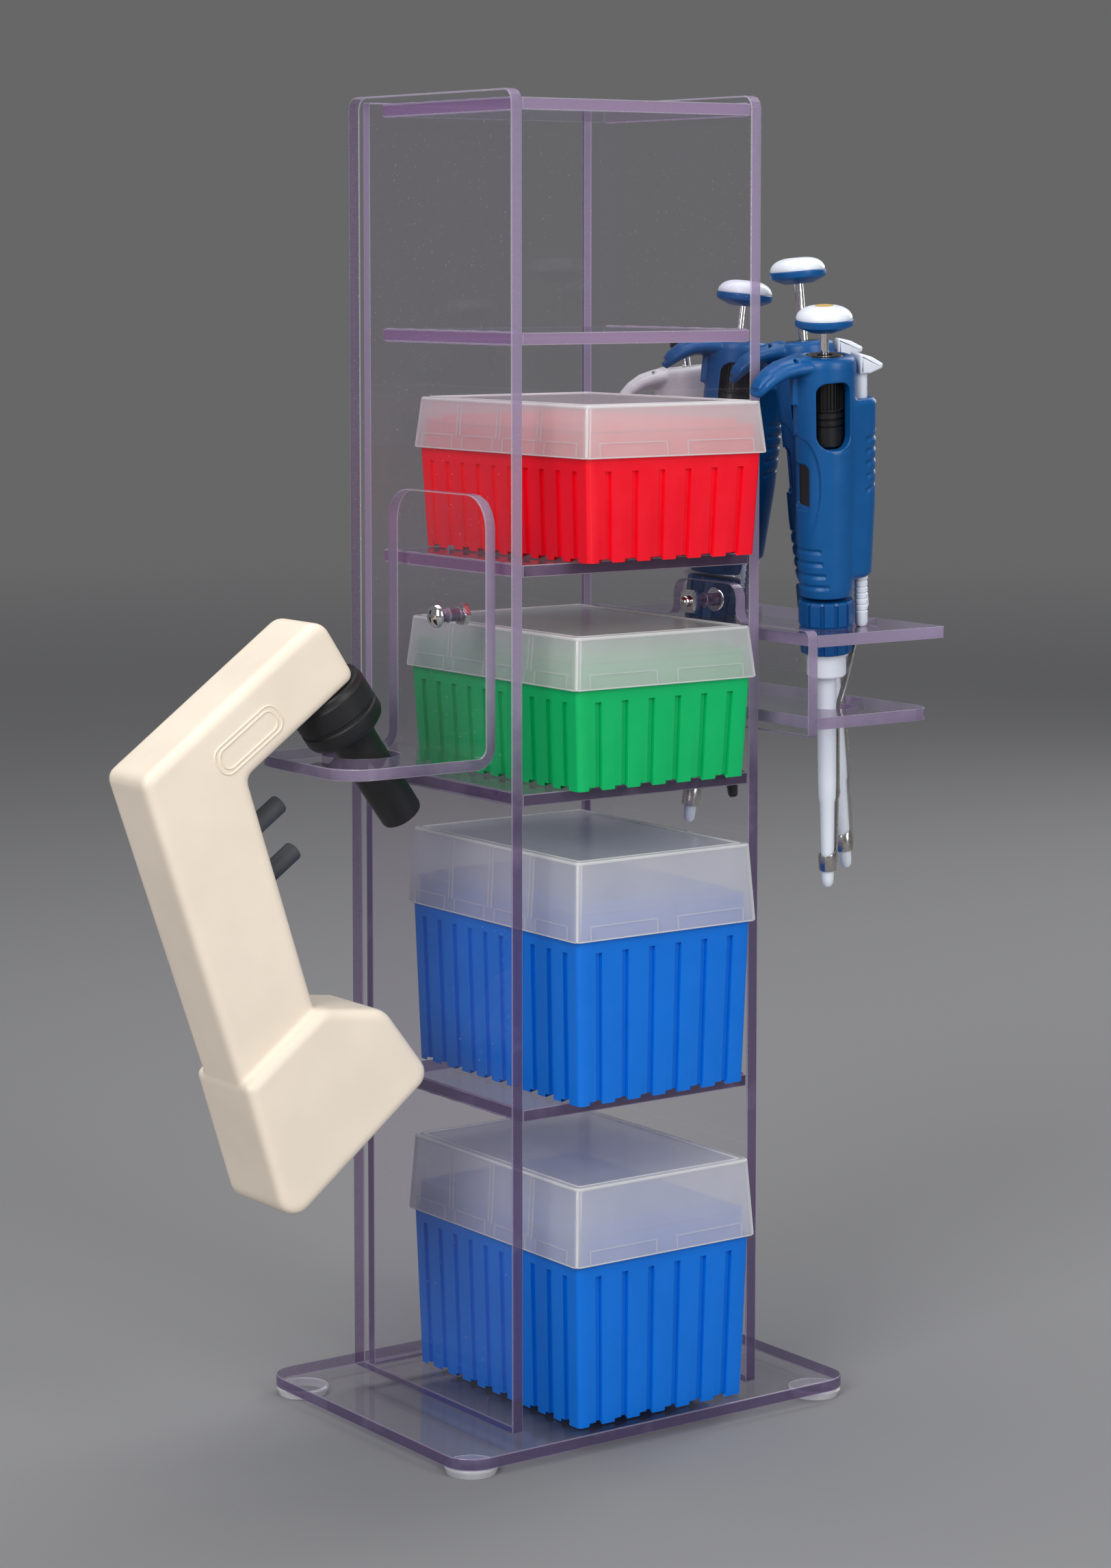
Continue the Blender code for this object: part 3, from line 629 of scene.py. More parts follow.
def dress_sheets():
    for name, axis in SHEETS.items():
        shelf = name.startswith("shelf")
        materials = (CLEAR, FRONT if shelf else EDGE, PAINTED_HIGHLIGHT_RIM, FAR, SAWN if shelf else EDGE)
        node = dress(name, materials, lambda f, a=axis: sheet_side(f, a))
        soften_edges(node, 0.4, rim=2)
    bend_x = LEFT_PANEL[0].x - 9 * MM
    bend_z = tower(0, 0, 275).z

    def bracket_edge(face):
        if abs(face.normal.y) > 0.5:
            return 1
        if face.center.z > bend_z:
            return int(abs(face.normal.x) < FLAT)
        if face.center.x < bend_x:
            return int(abs(face.normal.z) < FLAT)
        return 0

    bracket = dress("controller_bracket", (CLEAR, EDGE, PAINTED_HIGHLIGHT_RIM), bracket_edge)
    soften_edges(bracket, 0.4, angle=50, rim=2)
    for side in ("front_left", "front_right", "rear_left", "rear_right"):
        foot = dress("foot_" + side, (FOOT, FOOT_RIM), lambda f: int(abs(f.normal.z) < FLAT))
        low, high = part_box(foot.name)
        middle = Matrix.Translation(((low.x + high.x) / 2, (low.y + high.y) / 2, high.z))
        rings = [tube(circle(radius, -0.3), 0.2, closed=True) for radius in (10.3, 8.8)]
        label = foot.name + "_rings"
        piece(label, merged(*rings), "tower", FOOT_RIM, middle)


def make_weld_beads():
    """Thin beads of cement where the shelves meet the side panels, pale as a painted highlight for
    the glints along these joints.
    """
    beads = []
    for number in range(1, 6):
        low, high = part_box(f"shelf_{number}")
        for x in (low.x + 0.0002, high.x - 0.0002):
            for z in (low.z - 0.0001, high.z + 0.0001):
                ends = [Vector((x, y, z)) - TOWER for y in (low.y + 0.002, high.y - 0.002)]
                path = [ends[0].lerp(ends[1], step / 24) / MM for step in range(25)]
                radii = [0.32 + 0.10 * math.sin(step * 1.7) for step in range(25)]
                beads.append(tube(path, radii, steps=8))
    piece("weld_beads", merged(*beads), "tower", PAINTED_HIGHLIGHT_RIM)


# --------------------------------------------------------------- tip boxes


def grooved_ring(half_x, half_y, radius, depth, z, foot=0.0):
    """A tub's outline: grooves sunk by depth, their floors lifted by foot.

    Half of each land is lifted too, which leaves the notched bottom edge.
    """
    points = []
    sides = (
        ((1, 0), (0, 1), half_x, half_y, LONG_GROOVES),
        ((0, 1), (-1, 0), half_y, half_x, SHORT_GROOVES),
        ((-1, 0), (0, -1), half_x, half_y, LONG_GROOVES),
        ((0, -1), (1, 0), half_y, half_x, SHORT_GROOVES),
    )
    for quarter, (out, way, reach, half, grooves) in enumerate(sides):
        out, way = Vector((*out, 0)), Vector((*way, 0))
        pitch = 2 * half / (grooves + 0.55)
        notch = GROOVE_HALF - pitch * 0.5
        corners = (
            (notch - 0.05, 0, 0), (notch + 0.05, 0, 1), (-GROOVE_HALF - 0.1, 0, 1),
            (-GROOVE_HALF + 0.1, 1, 1), (GROOVE_HALF - 0.1, 1, 1),
            (GROOVE_HALF + 0.1, 0, 0),
        )
        for i in range(grooves):
            middle = (i - (grooves - 1) / 2) * pitch
            for step, sunk, lifted in corners:
                point = out * (reach - depth * sunk) + way * (middle + step)
                points.append(point + Vector((0, 0, z + foot * lifted)))
        corner = out * (reach - radius) + way * (half - radius)
        for step in range(5):
            angle = (quarter + step / 4) * math.pi / 2
            swing = Vector((math.cos(angle), math.sin(angle), 0)) * radius
            points.append(corner + swing + Vector((0, 0, z)))
    return points


def tub_mesh(height, skirt):
    shoulder = height - skirt + 0.9
    groove_top = height - skirt - 5.0
    rim_top = height - skirt + RIM_HEIGHT

    def level(z, depth, foot=0.0, inset=0.0):
        share = z / shoulder
        half_x = (TUB_BOTTOM[0] + (TUB_SHOULDER[0] - TUB_BOTTOM[0]) * share) / 2 - inset
        half_y = (TUB_BOTTOM[1] + (TUB_SHOULDER[1] - TUB_BOTTOM[1]) * share) / 2 - inset
        return grooved_ring(half_x, half_y, 1.8, depth, z, foot)

    rim_x, rim_y = RIM_SIZE[0] / 2, RIM_SIZE[1] / 2
    rings = [
        level(0.0, GROOVE_DEPTH, 1.3, 0.5),
        level(0.2, GROOVE_DEPTH, 1.3),
        level(1.7, GROOVE_DEPTH),
        level(groove_top - 0.2, GROOVE_DEPTH),
        level(groove_top, 0.0),
        level(shoulder - 0.5, 0.0),
        level(shoulder, 0.0, inset=0.5),
        grooved_ring(rim_x + 0.2, rim_y + 0.2, 1.8, 0.0, shoulder),
        grooved_ring(rim_x, rim_y, 1.8, 0.0, rim_top - 0.4),
        grooved_ring(rim_x - 0.4, rim_y - 0.4, 1.6, 0.0, rim_top),
    ]
    return loft(rings)


def lid_shell(height, skirt):
    """The lid's outer skin, open below; it gets its wall from Solidify."""
    bottom = height - skirt

    def level(z, grow=0.0, radius=2.6):
        share = (z - bottom) / skirt
        half_x = (LID_BOTTOM[0] + (LID_TOP[0] - LID_BOTTOM[0]) * share) / 2 + grow
        half_y = (LID_BOTTOM[1] + (LID_TOP[1] - LID_BOTTOM[1]) * share) / 2 + grow
        return rounded_box_ring(half_x, half_y, radius, z)

    rings = [
        level(bottom),
        level(bottom + 0.5),
        level(height - 1.6, 0.0),
        level(height - 0.6, -0.35),
        level(height, -1.2),
        level(height, -2.8, 2.0),
        level(height - 0.45, -3.2, 2.0),
        level(height - 0.45, -9.0, 1.5),
    ]
    return loft(rings, (False, True))


def lid_ribs(height, skirt):
    """Upright bosses on the long sides and window outlines at the skirt's foot."""
    bottom = height - skirt
    parts = []

    def half(size_bottom, size_top, z):
        share = (z - bottom) / skirt
        return (size_bottom + (size_top - size_bottom) * share) / 2

    def bar(axis, side, along, z0, z1, width, proud):
        """A bar on a side wall from z0 to z1, leaning with the wall."""
        ends = []
        other = 1 - axis
        for z in (z0, z1):
            reach = half(LID_BOTTOM[axis], LID_TOP[axis], z)
            ring = []
            for step, out in ((-1, -0.3), (1, -0.3), (0.7, proud), (-0.7, proud)):
                point = Vector((0, 0, z))
                point[axis] = side * (reach + out)
                point[other] = along + step * width / 2
                ring.append(point)
            ends.append(ring)
        parts.append(loft(ends))

    def window(axis, side, along, width):
        low, high = bottom + 0.5, bottom + 5.6
        for end in (-1, 1):
            bar(axis, side, along + end * width / 2, low, high, 0.5, 0.22)
        bar(axis, side, along, high, high + 0.5, width + 0.5, 0.22)

    for side in (-1, 1):
        for along in (-27.5, 0.0, 27.5):
            for edge in (-1.2, 1.2):
                bar(0, side, along + edge, bottom + 5.5, height - 1.8, 0.6, 0.28)
        for along in (-42.0, -14.0, 14.0, 42.0):
            window(0, side, along, 21.0)
        for along in (-21.0, 21.0):
            window(1, side, along, 32.0)
    return merged(*parts)


def lid_edges(height, skirt):
    """The thick edges that show white: two round the top, the corners and the foot."""
    bottom = height - skirt
    foot = Vector(LID_BOTTOM) / 2
    top = Vector(LID_TOP) / 2
    lines = (
        (top.x - 0.6, top.y - 0.6, 2.4, height - 0.8, 0.75),
        (top.x - 2.9, top.y - 2.9, 1.6, height - 0.25, 0.5),
        (foot.x - 0.2, foot.y - 0.2, 2.6, bottom + 0.3, 0.3),
    )
    parts = []
    for half_x, half_y, radius, z, thick in lines:
        path = rounded_box_ring(half_x, half_y, radius, z)
        parts.append(tube(path, thick, closed=True, steps=8))
    for sign_x in (-1, 1):
        for sign_y in (-1, 1):
            low = Vector((sign_x * (foot.x - 1.0), sign_y * (foot.y - 1.0), bottom + 0.3))
            high = Vector((sign_x * (top.x - 1.2), sign_y * (top.y - 1.2), height - 0.8))
            parts.append(tube([low, high], 0.65, steps=8))
    return merged(*parts)


def make_tip_box(name, floor, height, skirt, shift_x, shift_y, colour):
    x, y = BOX_CENTRE[0] + shift_x, BOX_CENTRE[1] + shift_y
    where = Matrix.Translation(tower(x, y, floor + BOX_GAP))
    box, lid = name + "_box", name + "_lid"
    tub = tub_mesh(height, skirt)
    piece(name + "_tub_ribbed", tub, box, TUB[colour], where, (name + "_tub",), 30)
    shell = lid_shell(height, skirt)
    shown = piece(name + "_lid_shell", shell, lid, FROST, where, (name + "_lid",))
    wall = shown.modifiers.new("wall", "SOLIDIFY")
    wall.thickness = 1.0 * MM
    wall.offset = -1.0
    edges = lid_edges(height, skirt)
    piece(name + "_lid_edges", edges, lid, FROST_EDGE, where)
    ribs = lid_ribs(height, skirt)
    piece(name + "_lid_ribs", ribs, lid, FROST_RIB, where)
    deck = dress(name + "_deck", (TUB[colour],), lambda f: 0)
    soften_edges(deck, 0.4)


# ---------------------------------------------------------------- pipettes


def arc_path(centre_x, radius, z, start, end, steps=14):
    """Points round an upright axis at (centre_x, 0), between two angles."""
    path = []
    for i in range(steps + 1):
        angle = math.radians(start + (end - start) * i / steps)
        path.append(Vector((centre_x + radius * math.cos(angle), radius * math.sin(angle), z)))
    return path


def hull_ring(z, radius, lobe_x, lobe_radius, steps=56):
    """The outline round a circle on the axis and a smaller one at lobe_x."""
    points = []
    for i in range(steps):
        angle = 2 * math.pi * i / steps
        way = Vector((math.cos(angle), math.sin(angle), 0))
        near = way * radius
        far = Vector((lobe_x, 0, 0)) + way * lobe_radius
        point = far if lobe_x * way.x + lobe_radius > radius else near
        points.append(point + Vector((0, 0, z)))
    return points


def hook_rings(top):
    """The finger hook as oval rings: x, height, rise, drop and half width."""
    stations = (
        (7.0, top - 5.0, 4.6, 5.0, 9.5),
        (0.0, top - 4.2, 4.4, 5.0, 10.0),
        (-8.0, top - 3.7, 4.4, 4.2, 9.6),
        (-14.0, top - 4.1, 4.3, 3.6, 9.0),
        (-19.0, top - 5.2, 4.2, 3.2, 8.4),
        (-23.5, top - 7.5, 3.9, 2.9, 7.8),
        (-27.0, top - 10.3, 3.4, 2.5, 7.0),
        (-29.0, top - 12.7, 2.6, 2.0, 5.6),
        (-30.0, top - 14.5, 1.4, 1.1, 3.2),
    )
    rings = []
    for i, (x, z, rise, drop, wide) in enumerate(stations):
        before = stations[max(i - 1, 0)]
        after = stations[min(i + 1, len(stations) - 1)]
        way = Vector((after[0] - before[0], 0, after[1] - before[1])).normalized()
        up = way.cross(Vector((0, 1, 0)))
        up = up if up.z > 0 else -up
        ring = []
        for k in range(32):
            turn = 2 * math.pi * k / 32
            lift = math.sin(turn) * (rise if math.sin(turn) > 0 else drop)
            ring.append(Vector((x, math.cos(turn) * wide, z)) + up * lift)
        rings.append(ring)
    return rings


def hook_inlay(top):
    """A closed path on the hook's upper skin, for the groove round its inlay."""
    rings = hook_rings(top)[3:8]
    left = [ring[12] for ring in rings]
    right = [ring[4] for ring in rings]
    return left + right[::-1]


def teardrop(low, high, widest, half_angle, depth):
    """A shallow teardrop to cut from the column's hook side."""
    rings = []
    for step in range(25):
        z = low + (high - low) * step / 24
        if z < widest:
            share = (1 - ((widest - z) / (widest - low)) ** 2) ** 0.6
        else:
            share = (1 - ((z - widest) / (high - widest)) ** 2) ** 0.4
        half = math.radians(max(half_angle * share, 1.5))
        ring = []
        for radius, way in ((HANDLE_RADIUS - depth, 1), (HANDLE_RADIUS + 4, -1)):
            for k in range(13):
                angle = math.pi + way * half * (k / 6 - 1)
                ring.append(Vector((radius * math.cos(angle), radius * math.sin(angle), z)))
        rings.append(ring)
    return loft(rings)


def side_groove(z, fall):
    """A groove round the lobe's end that falls towards the front and the back."""
    path = []
    for step in range(-8, 9):
        angle = math.radians(step * 11)
        drop = fall * (step / 8) ** 2
        x = LOBE_X + 7.5 * math.cos(angle)
        path.append(Vector((x, 7.5 * math.sin(angle), z - drop)))
    return tube(path, 0.95)


def panel_line(top, side):
    """The line that runs from under the window round to the lobe's end."""
    points = (
        (-2, 12.5, -36.9), (3, 12.2, -36.8), (6.3, 11.3, -36.2), (10, 9.8, -35.4),
        (13.6, 8.3, -34.2), (17.5, 7.0, -32.0), (20.6, 4.0, -29.7), (21.6, 0, -28.9),
    )
    return tube([Vector((x, side * y, top + z)) for x, y, z in points], 0.5)


def handle_mesh(top, windowed):
    column = lathe(
        [
            (0, top), (9.6, top), (11.4, top - 0.7), (12.3, top - 1.9),
            (HANDLE_RADIUS, top - 3.8), (HANDLE_RADIUS, 60.0), (11.9, 40.0), (10.9, 16.5),
            (10.3, 13.2), (0, 13.2),
        ]
    )
    lobe = loft(
        [
            hull_ring(20.0, 8.0, 11.2, 6.4),
            hull_ring(21.6, 9.8, 11.9, 7.4),
            hull_ring(50.0, 11.4, 13.4, 7.6),
            hull_ring(top - 19.4, 12.0, LOBE_X, 7.5),
            hull_ring(top - 17.8, 11.0, LOBE_X - 0.6, 6.7),
        ]
    )
    web = rounded_block((12, 9.5, 17), (-8.6, 0, top - 13.5), bevel=3.0)
    outline = ((-17.0, 2.5), (-17.0, -2.5), (-9.0, -6.5), (-9.0, 6.5))
    drops = (1.4, 1.4, 0.0, 0.0)
    foot = [Vector((x, y, top - 4)) for x, y in outline]
    crest = [Vector((x, y, top + 0.9 - drop)) for (x, y), drop in zip(outline, drops)]
    solids = [column, lobe, web, loft(hook_rings(top)), loft([foot[::-1], crest[::-1]])]
    ejector = [Vector((EJECTOR_X, 0, z)) for z in (0, top + 9)]
    cutters = [tube(ejector, 3.3, steps=28), tube(hook_inlay(top), 0.85, closed=True)]
    if windowed:
        rim = [
            (-7.9, top - 36.4, 6.0),
            (6.1, top - 36.4, 6.0),
            (6.1, top - 9.6, 4.2),
            (-7.9, top - 9.6, 4.2),
        ]
        cutters.append(slab(rim, -20, 20))
        bore = [(0, top + 5), (KNOB_RADIUS + 0.5, top + 5)]
        bore += [(KNOB_RADIUS + 0.5, top - 36.8), (0, top - 36.8)]
        cutters.append(lathe(bore, 56))
        cutters.append(rounded_block((7.0, 12.6, 18.4), (-11.8, 0, DISPLAY_Z), bevel=1.2))
        cutters += [panel_line(top, side) for side in (-1, 1)]
    else:
        cutters.append(lathe([(0, top + 5), (7.0, top + 5), (7.0, top - 5), (0, top - 5)], 40))
    cutters.append(teardrop(31.0, 79.0, 60.0, 57.0, 0.8))
    for z, half in ((32.8, 57), (27.8, 60), (22.8, 66), (18.2, 72)):
        radius = 11.0 + (z - 16.5) * 0.042
        cutters.append(tube(arc_path(0, radius, z, 180 - half, 180 + half), 0.9))
    for z, fall in ((77.0, 1.0), (72.6, 1.4), (68.0, 1.8), (63.4, 2.4), (58.4, 3.2)):
        cutters.append(side_groove(z, fall))
    return moulded(solids, cutters, 0.5, 3)


def ribbed_ring(inner, outer, z, ribs, share=0.62):
    """A ring with upright ribs, four points to a rib."""
    points = []
    for i in range(ribs):
        for step, radius in ((0.0, inner), (0.08, outer), (share - 0.08, outer), (share, inner)):
            angle = 2 * math.pi * (i + step) / ribs
            points.append(Vector((radius * math.cos(angle), radius * math.sin(angle), z)))
    return points


def nut_mesh():
    ribs = 12
    return loft(
        [
            ribbed_ring(7.6, 7.9, -9.9, ribs, 0.84),
            ribbed_ring(9.6, 9.9, -9.9, ribs, 0.84),
            ribbed_ring(9.8, 10.4, -9.2, ribs, 0.84),
            ribbed_ring(9.8, 10.5, 1.4, ribs, 0.84),
            ribbed_ring(10.1, 11.05, 2.2, ribs, 0.84),
            ribbed_ring(10.1, 11.05, 10.2, ribs, 0.84),
            ribbed_ring(10.6, 11.05, 10.6, ribs, 0.84),
            ribbed_ring(10.2, 10.6, 11.6, ribs, 0.84),
            ribbed_ring(8.0, 8.2, 11.8, ribs, 0.84),
        ]
    )


def barrel_mesh(short, tipped):
    """The collar, the shaft and the tip cone; tipped leaves room for a dark tip."""
    profile = [
        (0, -9.5), (7.7, -9.5), (7.9, -10.2), (7.9, -19.0), (7.4, -19.7), (4.4, -20.0),
        (3.95, -21.0), (3.7, -60.0 + short), (3.5, -66.5 + short), (3.05, -68.5 + short),
    ]
    if tipped:
        profile += [(2.9, -90.0 + short), (0, -90.0 + short)]
    else:
        profile += [
            (2.55, -95.0 + short),
            (2.45, -100.5 + short),
            (2.2, -102.6 + short),
            (1.5, -103.7 + short),
            (0, -103.9 + short),
        ]
    return lathe(profile)


def knob_mesh(top):
    """The volume knob: a ribbed upper half, smooth rings and a plain foot."""
    wide, groove = KNOB_RADIUS, KNOB_RADIUS - 0.7
    levels = [
        (top - 36.3, wide - 1.2, wide - 1.2),
        (top - 35.5, wide, wide),
    ]
    for z in (27.6, 24.8, 22.0):
        levels += [
            (top - z - 0.45, wide, wide),
            (top - z - 0.15, groove, groove),
            (top - z + 0.15, groove, groove),
            (top - z + 0.45, wide, wide),
        ]
    levels += [
        (top - 21.0, wide, wide),
        (top - 20.6, groove, wide),
        (top - 0.6, groove, wide),
        (top + 0.1, groove - 0.6, wide - 0.7),
        (top + 0.1, 3.4, 3.4),
        (top - 2.0, 2.6, 2.6),
    ]
    return loft([ribbed_ring(inner, outer, z, KNOB_RIBS, 0.55) for z, inner, outer in levels])


def ejector_mesh(top):
    """The thumb pad on its stem, and the ribbed sleeve below the handle."""
    stem = [(0, top - 4.6), (2.8, top - 4.6), (2.8, 19.0)]
    for z in (17.6, 15.2, 12.8, 10.4, 8.0, 5.6):
        stem += [(2.65, z + 0.5), (2.25, z), (2.65, z - 0.5)]
    stem += [(2.6, 0.6), (2.1, -0.6), (0, -0.6)]
    rod = moved(lathe(stem, 24), Matrix.Translation((EJECTOR_X, 0, 0)))
    pad = [
        (13.2, top - 8.2, 0.6), (17.8, top - 8.2, 1.6), (23.0, top - 6.4, 1.0),
        (23.4, top - 4.6, 1.0), (18.6, top - 1.6, 5.0), (13.2, top + 0.1, 0.8),
    ]
    return merged(rod, slab(pad, -5.2, 5.2, 1.2, 3))


def strip_mesh(short):
    """The steel strip from the sleeve to the ring, bent in behind the collar."""
    path = (
        (14.6, -1.0), (13.2, -5.0), (11.4, -11.0), (10.0, -17.0), (8.0, -24.0),
        (5.6, -31.0), (4.8, -38.0), (4.7, -62.0 + short), (4.9, -64.5 + short),
        (4.2, -68.0 + short), (3.6, -86.0 + short), (3.5, -94.0 + short),
    )
    rings = []
    for i, (x, z) in enumerate(path):
        before, after = path[max(i - 1, 0)], path[min(i + 1, len(path) - 1)]
        way = Vector((after[0] - before[0], after[1] - before[1])).normalized()
        side = Vector((-way.y, 0, way.x)) * 0.32
        wide = 1.7 if i < 6 else 1.4
        ring = []
        for sign, y in ((1, -wide), (1, wide), (-1, wide), (-1, -wide)):
            ring.append(Vector((x, y, z)) + side * sign)
        rings.append(ring)
    strip = loft(rings)
    collar = []
    band_profile = (
        (2.95, -90.2), (3.6, -90.0), (3.75, -90.6), (3.75, -96.2), (3.6, -96.8),
        (2.95, -96.6),
    )
    for radius, level in band_profile:
        ring = circle(radius, level + short, 40)
        # The ring's upper edge rises to the strip.
        if level > -93:
            for point in ring:
                point.z += 1.6 * max(point.x / radius, -0.2)
        collar.append(ring)
    band = loft(collar + [collar[0]], (False, False))
    bmesh.ops.remove_doubles(band, verts=band.verts, dist=1e-4)
    return merged(strip, band)


def button_parts(base, radius):
    """The push button's blue cup and white dome, as two solids."""
    cup = lathe(
        [
            (0, base + 0.1), (radius * 0.40, base), (radius * 0.52, base + 0.2),
            (radius * 0.84, base + 1.7), (radius * 0.97, base + 2.5), (radius, base + 3.2),
            (radius, base + 4.9), (radius * 0.97, base + 5.2), (0, base + 5.2),
        ],
        64,
    )
    dome = [(0, base + 5.25), (radius * 0.96, base + 5.25)]
    for step in range(1, 12):
        angle = step / 12 * math.pi / 2
        reach = radius * 0.975 * math.cos(angle) ** 0.62
        dome.append((reach, base + 5.4 + 5.2 * math.sin(angle) ** 1.1))
    dome.append((0, base + 10.6))
    return cup, lathe(dome, 64)


def pipette_matrix(x, y, lean, tilt, turn, rise):
    axis = Quaternion(LEAN_WAY.cross(Vector((0, 0, 1))), -math.radians(lean))
    axis = Quaternion(LEAN_WAY, math.radians(tilt)) @ axis
    yaw = Quaternion((0, 0, 1), -math.radians(turn))
    seat = tower(x, y, UPPER_TOP) + axis @ Vector((0, 0, rise)) * MM
    return Matrix.Translation(seat) @ (axis @ yaw).to_matrix().to_4x4()


def make_pipette(name, x, y, lean, tilt, turn, rise, lift, short):
    where = pipette_matrix(x, y, lean, tilt, turn, rise)
    pale = name == "pipette_4"
    top = PALE_TOP if pale else HANDLE_TOP
    skin, slot = (PALE, "grey") if pale else (PIPETTE_BLUE, "pipette_blue")

    def add(label, bm, part, mat, replaces=(), sharp=35):
        body = name + part
        nodes = [name + node for node in replaces]
        return piece(name + label, bm, body, mat, where, nodes, sharp)

    add("_grip", handle_mesh(top, not pale), "", skin, ("_handle",), 0)
    add("_nut", nut_mesh(), "", PALE if pale else NUT_BLUE, (), 30)
    add("_shaft", barrel_mesh(short, pale), "", WHITE, ("_barrel",))
    add("_ejector", ejector_mesh(top), "_ejector", WHITE, ("_ejector_button",))
    add("_strip", strip_mesh(short), "_ejector", STEEL, ("_ejector_strip",))
    radius = PALE_BUTTON_RADIUS if pale else BUTTON_RADIUS
    base = top + BUTTON_REST + lift
    cup, dome = button_parts(base, radius)
    add("_button_cup", cup, "_plunger", BLACK if pale else PIPETTE_BLUE)
    add("_button_dome", dome, "_plunger", BLACK if pale else WHITE)
    rod_end = top - 41 + lift
    rod_top = base + 0.6
    rod = lathe([(0, rod_top), (ROD_RADIUS, rod_top), (ROD_RADIUS, rod_end), (0, rod_end)])
    add("_rod", rod, "_plunger", CHROME, ("_plunger",))
    if pale:
        bush = [(1.9, top - 5.0), (6.9, top - 5.0), (6.9, top - 1.2), (1.9, top - 0.6)]
        add("_bush", lathe(bush), "", BLACK)
        tip = [(0, -88.0), (3.3, -88.0), (3.2, -90.0), (2.1, -102.8), (1.5, -103.8), (0, -103.8)]
        add("_tip", lathe([(r, z + short) for r, z in tip]), "", BLACK)
    else:
        add("_knob", knob_mesh(top), "_volume_knob", BLACK, ("_volume_knob",), 30)
        glass = rounded_block((0.8, 11.6, 17.4), (-8.5, 0, DISPLAY_Z), bevel=0.3)
        add("_display", glass, "", BLACK)
    if name == "pipette_1":
        profile = ((0, 10.1), (3.7, 10.1), (3.7, 10.62), (0, 10.75))
        disc = lathe([(r, base + z) for r, z in profile])
        add("_dot", disc, "_plunger", YELLOW)


# -------------------------------------------------------------- controller

ARM_OUTLINE = (
    (-200.6, 261.5, 5), (-123.3, 318.2, 7), (-107.5, 294.0, 4), (-155.3, 259.3, 4),
    (-124.0, 161.0, 0), (-124.0, 128.0, 0), (-154.6, 128.0, 0),
)
FOOT_OUTLINE = (
    (-160.2, 143.5, 3),
    (-126.5, 169.5, 7),
    (-98.0, 166.0, 10),
    (-76.8, 138.2, 7),
    (-142.4, 86.4, 8),
)


def make_controller():
    half_grip, half_foot = GRIP_THICK / 2, FOOT_THICK / 2
    arm = slab(ARM_OUTLINE, GRIP_Y - half_grip, GRIP_Y + half_grip, 3.4, 3, 8)
    foot = slab(FOOT_OUTLINE, GRIP_Y - half_foot, GRIP_Y + half_foot, 3.4, 3, 8)
    bores = []
    for _, x, z in BUTTONS:
        tip = Vector((x, GRIP_Y, z))
        bores.append(tube([tip - ALONG_ARM * 32, tip], 4.2, steps=28))
    body = moulded([arm, foot], bores, 0.8, 3)
    piece("controller_shell", body, "controller", IVORY, None, ("controller_body",), 0)

    # A plain raised frame on the arm's side.
    middle = Vector((-155.7, GRIP_Y - half_grip - 0.05, 273.6))
    turn = Matrix.Translation(middle) @ Matrix.Rotation(-ARM_ANGLE, 4, "Y")
    rims = []
    for half_x, half_z, radius in ((16.0, 5.8, 4.6), (14.0, 4.1, 3.4)):
        corners = [(a.x, 0, a.y) for a in rounded_box_ring(half_x, half_z, radius, 0, 7)]
        rims.append(tube([Vector(c) for c in corners], 0.38, closed=True))
    emblem = moved(merged(*rims), turn)
    piece("controller_raised_frame", emblem, "controller", IVORY)

    profile = [
        (0, 11.5), (8.6, 11.5), (8.6, 0.0), (14.8, 0.0), (15.4, -0.6), (15.6, -2.4),
        (16.2, -3.2), (16.2, -11.2), (15.5, -11.8), (15.5, -13.0), (16.2, -13.6),
        (16.2, -17.8), (15.4, -19.6), (13.8, -20.9), (11.0, -21.6), (9.5, -23.6),
        (8.8, -27.0), (8.4, -62.0), (8.0, -63.3), (7.2, -63.8), (6.2, -63.8), (6.0, -62.5),
        (0, -62.5),
    ]
    turn = Vector((0, 0, 1)).rotation_difference(-DOWN_NOSE).to_matrix().to_4x4()
    where = Matrix.Translation(tower(*NOSE_ROOT)) @ turn
    nose = lathe(profile, 72)
    piece("controller_nose", nose, "controller", RUBBER, where, ("controller_nosepiece",))

    turn = Vector((0, 0, 1)).rotation_difference(ALONG_ARM).to_matrix().to_4x4()
    for name, x, z in BUTTONS:
        where = Matrix.Translation(tower(x, GRIP_Y, z)) @ turn
        button = lathe([(0, 0), (2.6, 0), (3.4, -0.35), (3.8, -1.1), (3.8, -31.5), (0, -31.5)])
        body, node = name + "_button", (name + "_button",)
        piece(name + "_plug", button, body, GREY, where, node)


# --------------------------------------------------------------- fasteners


def cross_head(radius, height, shank):
    """A dome-headed screw with a cross recess; its axis is Z, head up."""
    head = []
    for step in range(9):
        angle = step / 8 * math.pi / 2
        head.append((radius * math.sin(angle), height * math.cos(angle)))
    head += [(radius, -0.1), (2.3, -0.1), (2.3, -shank), (0, -shank)]
    obj = scratch(lathe(head, 48))
    for size in ((radius * 1.05, 0.9, height * 1.2), (0.9, radius * 1.05, height * 1.2)):
        tool = scratch(rounded_block(size, (0, 0, height * 1.05), bevel=0.15))
        cut = obj.modifiers.new("recess", "BOOLEAN")
        cut.operation = "DIFFERENCE"
        cut.solver = "EXACT"
        cut.object = tool
    mesh = baked(obj)
    for extra in [o for o in bpy.data.objects if o.name.startswith("scratch")]:
        bpy.data.objects.remove(extra)
    bm = bmesh.new()
    bm.from_mesh(mesh)
    return bm


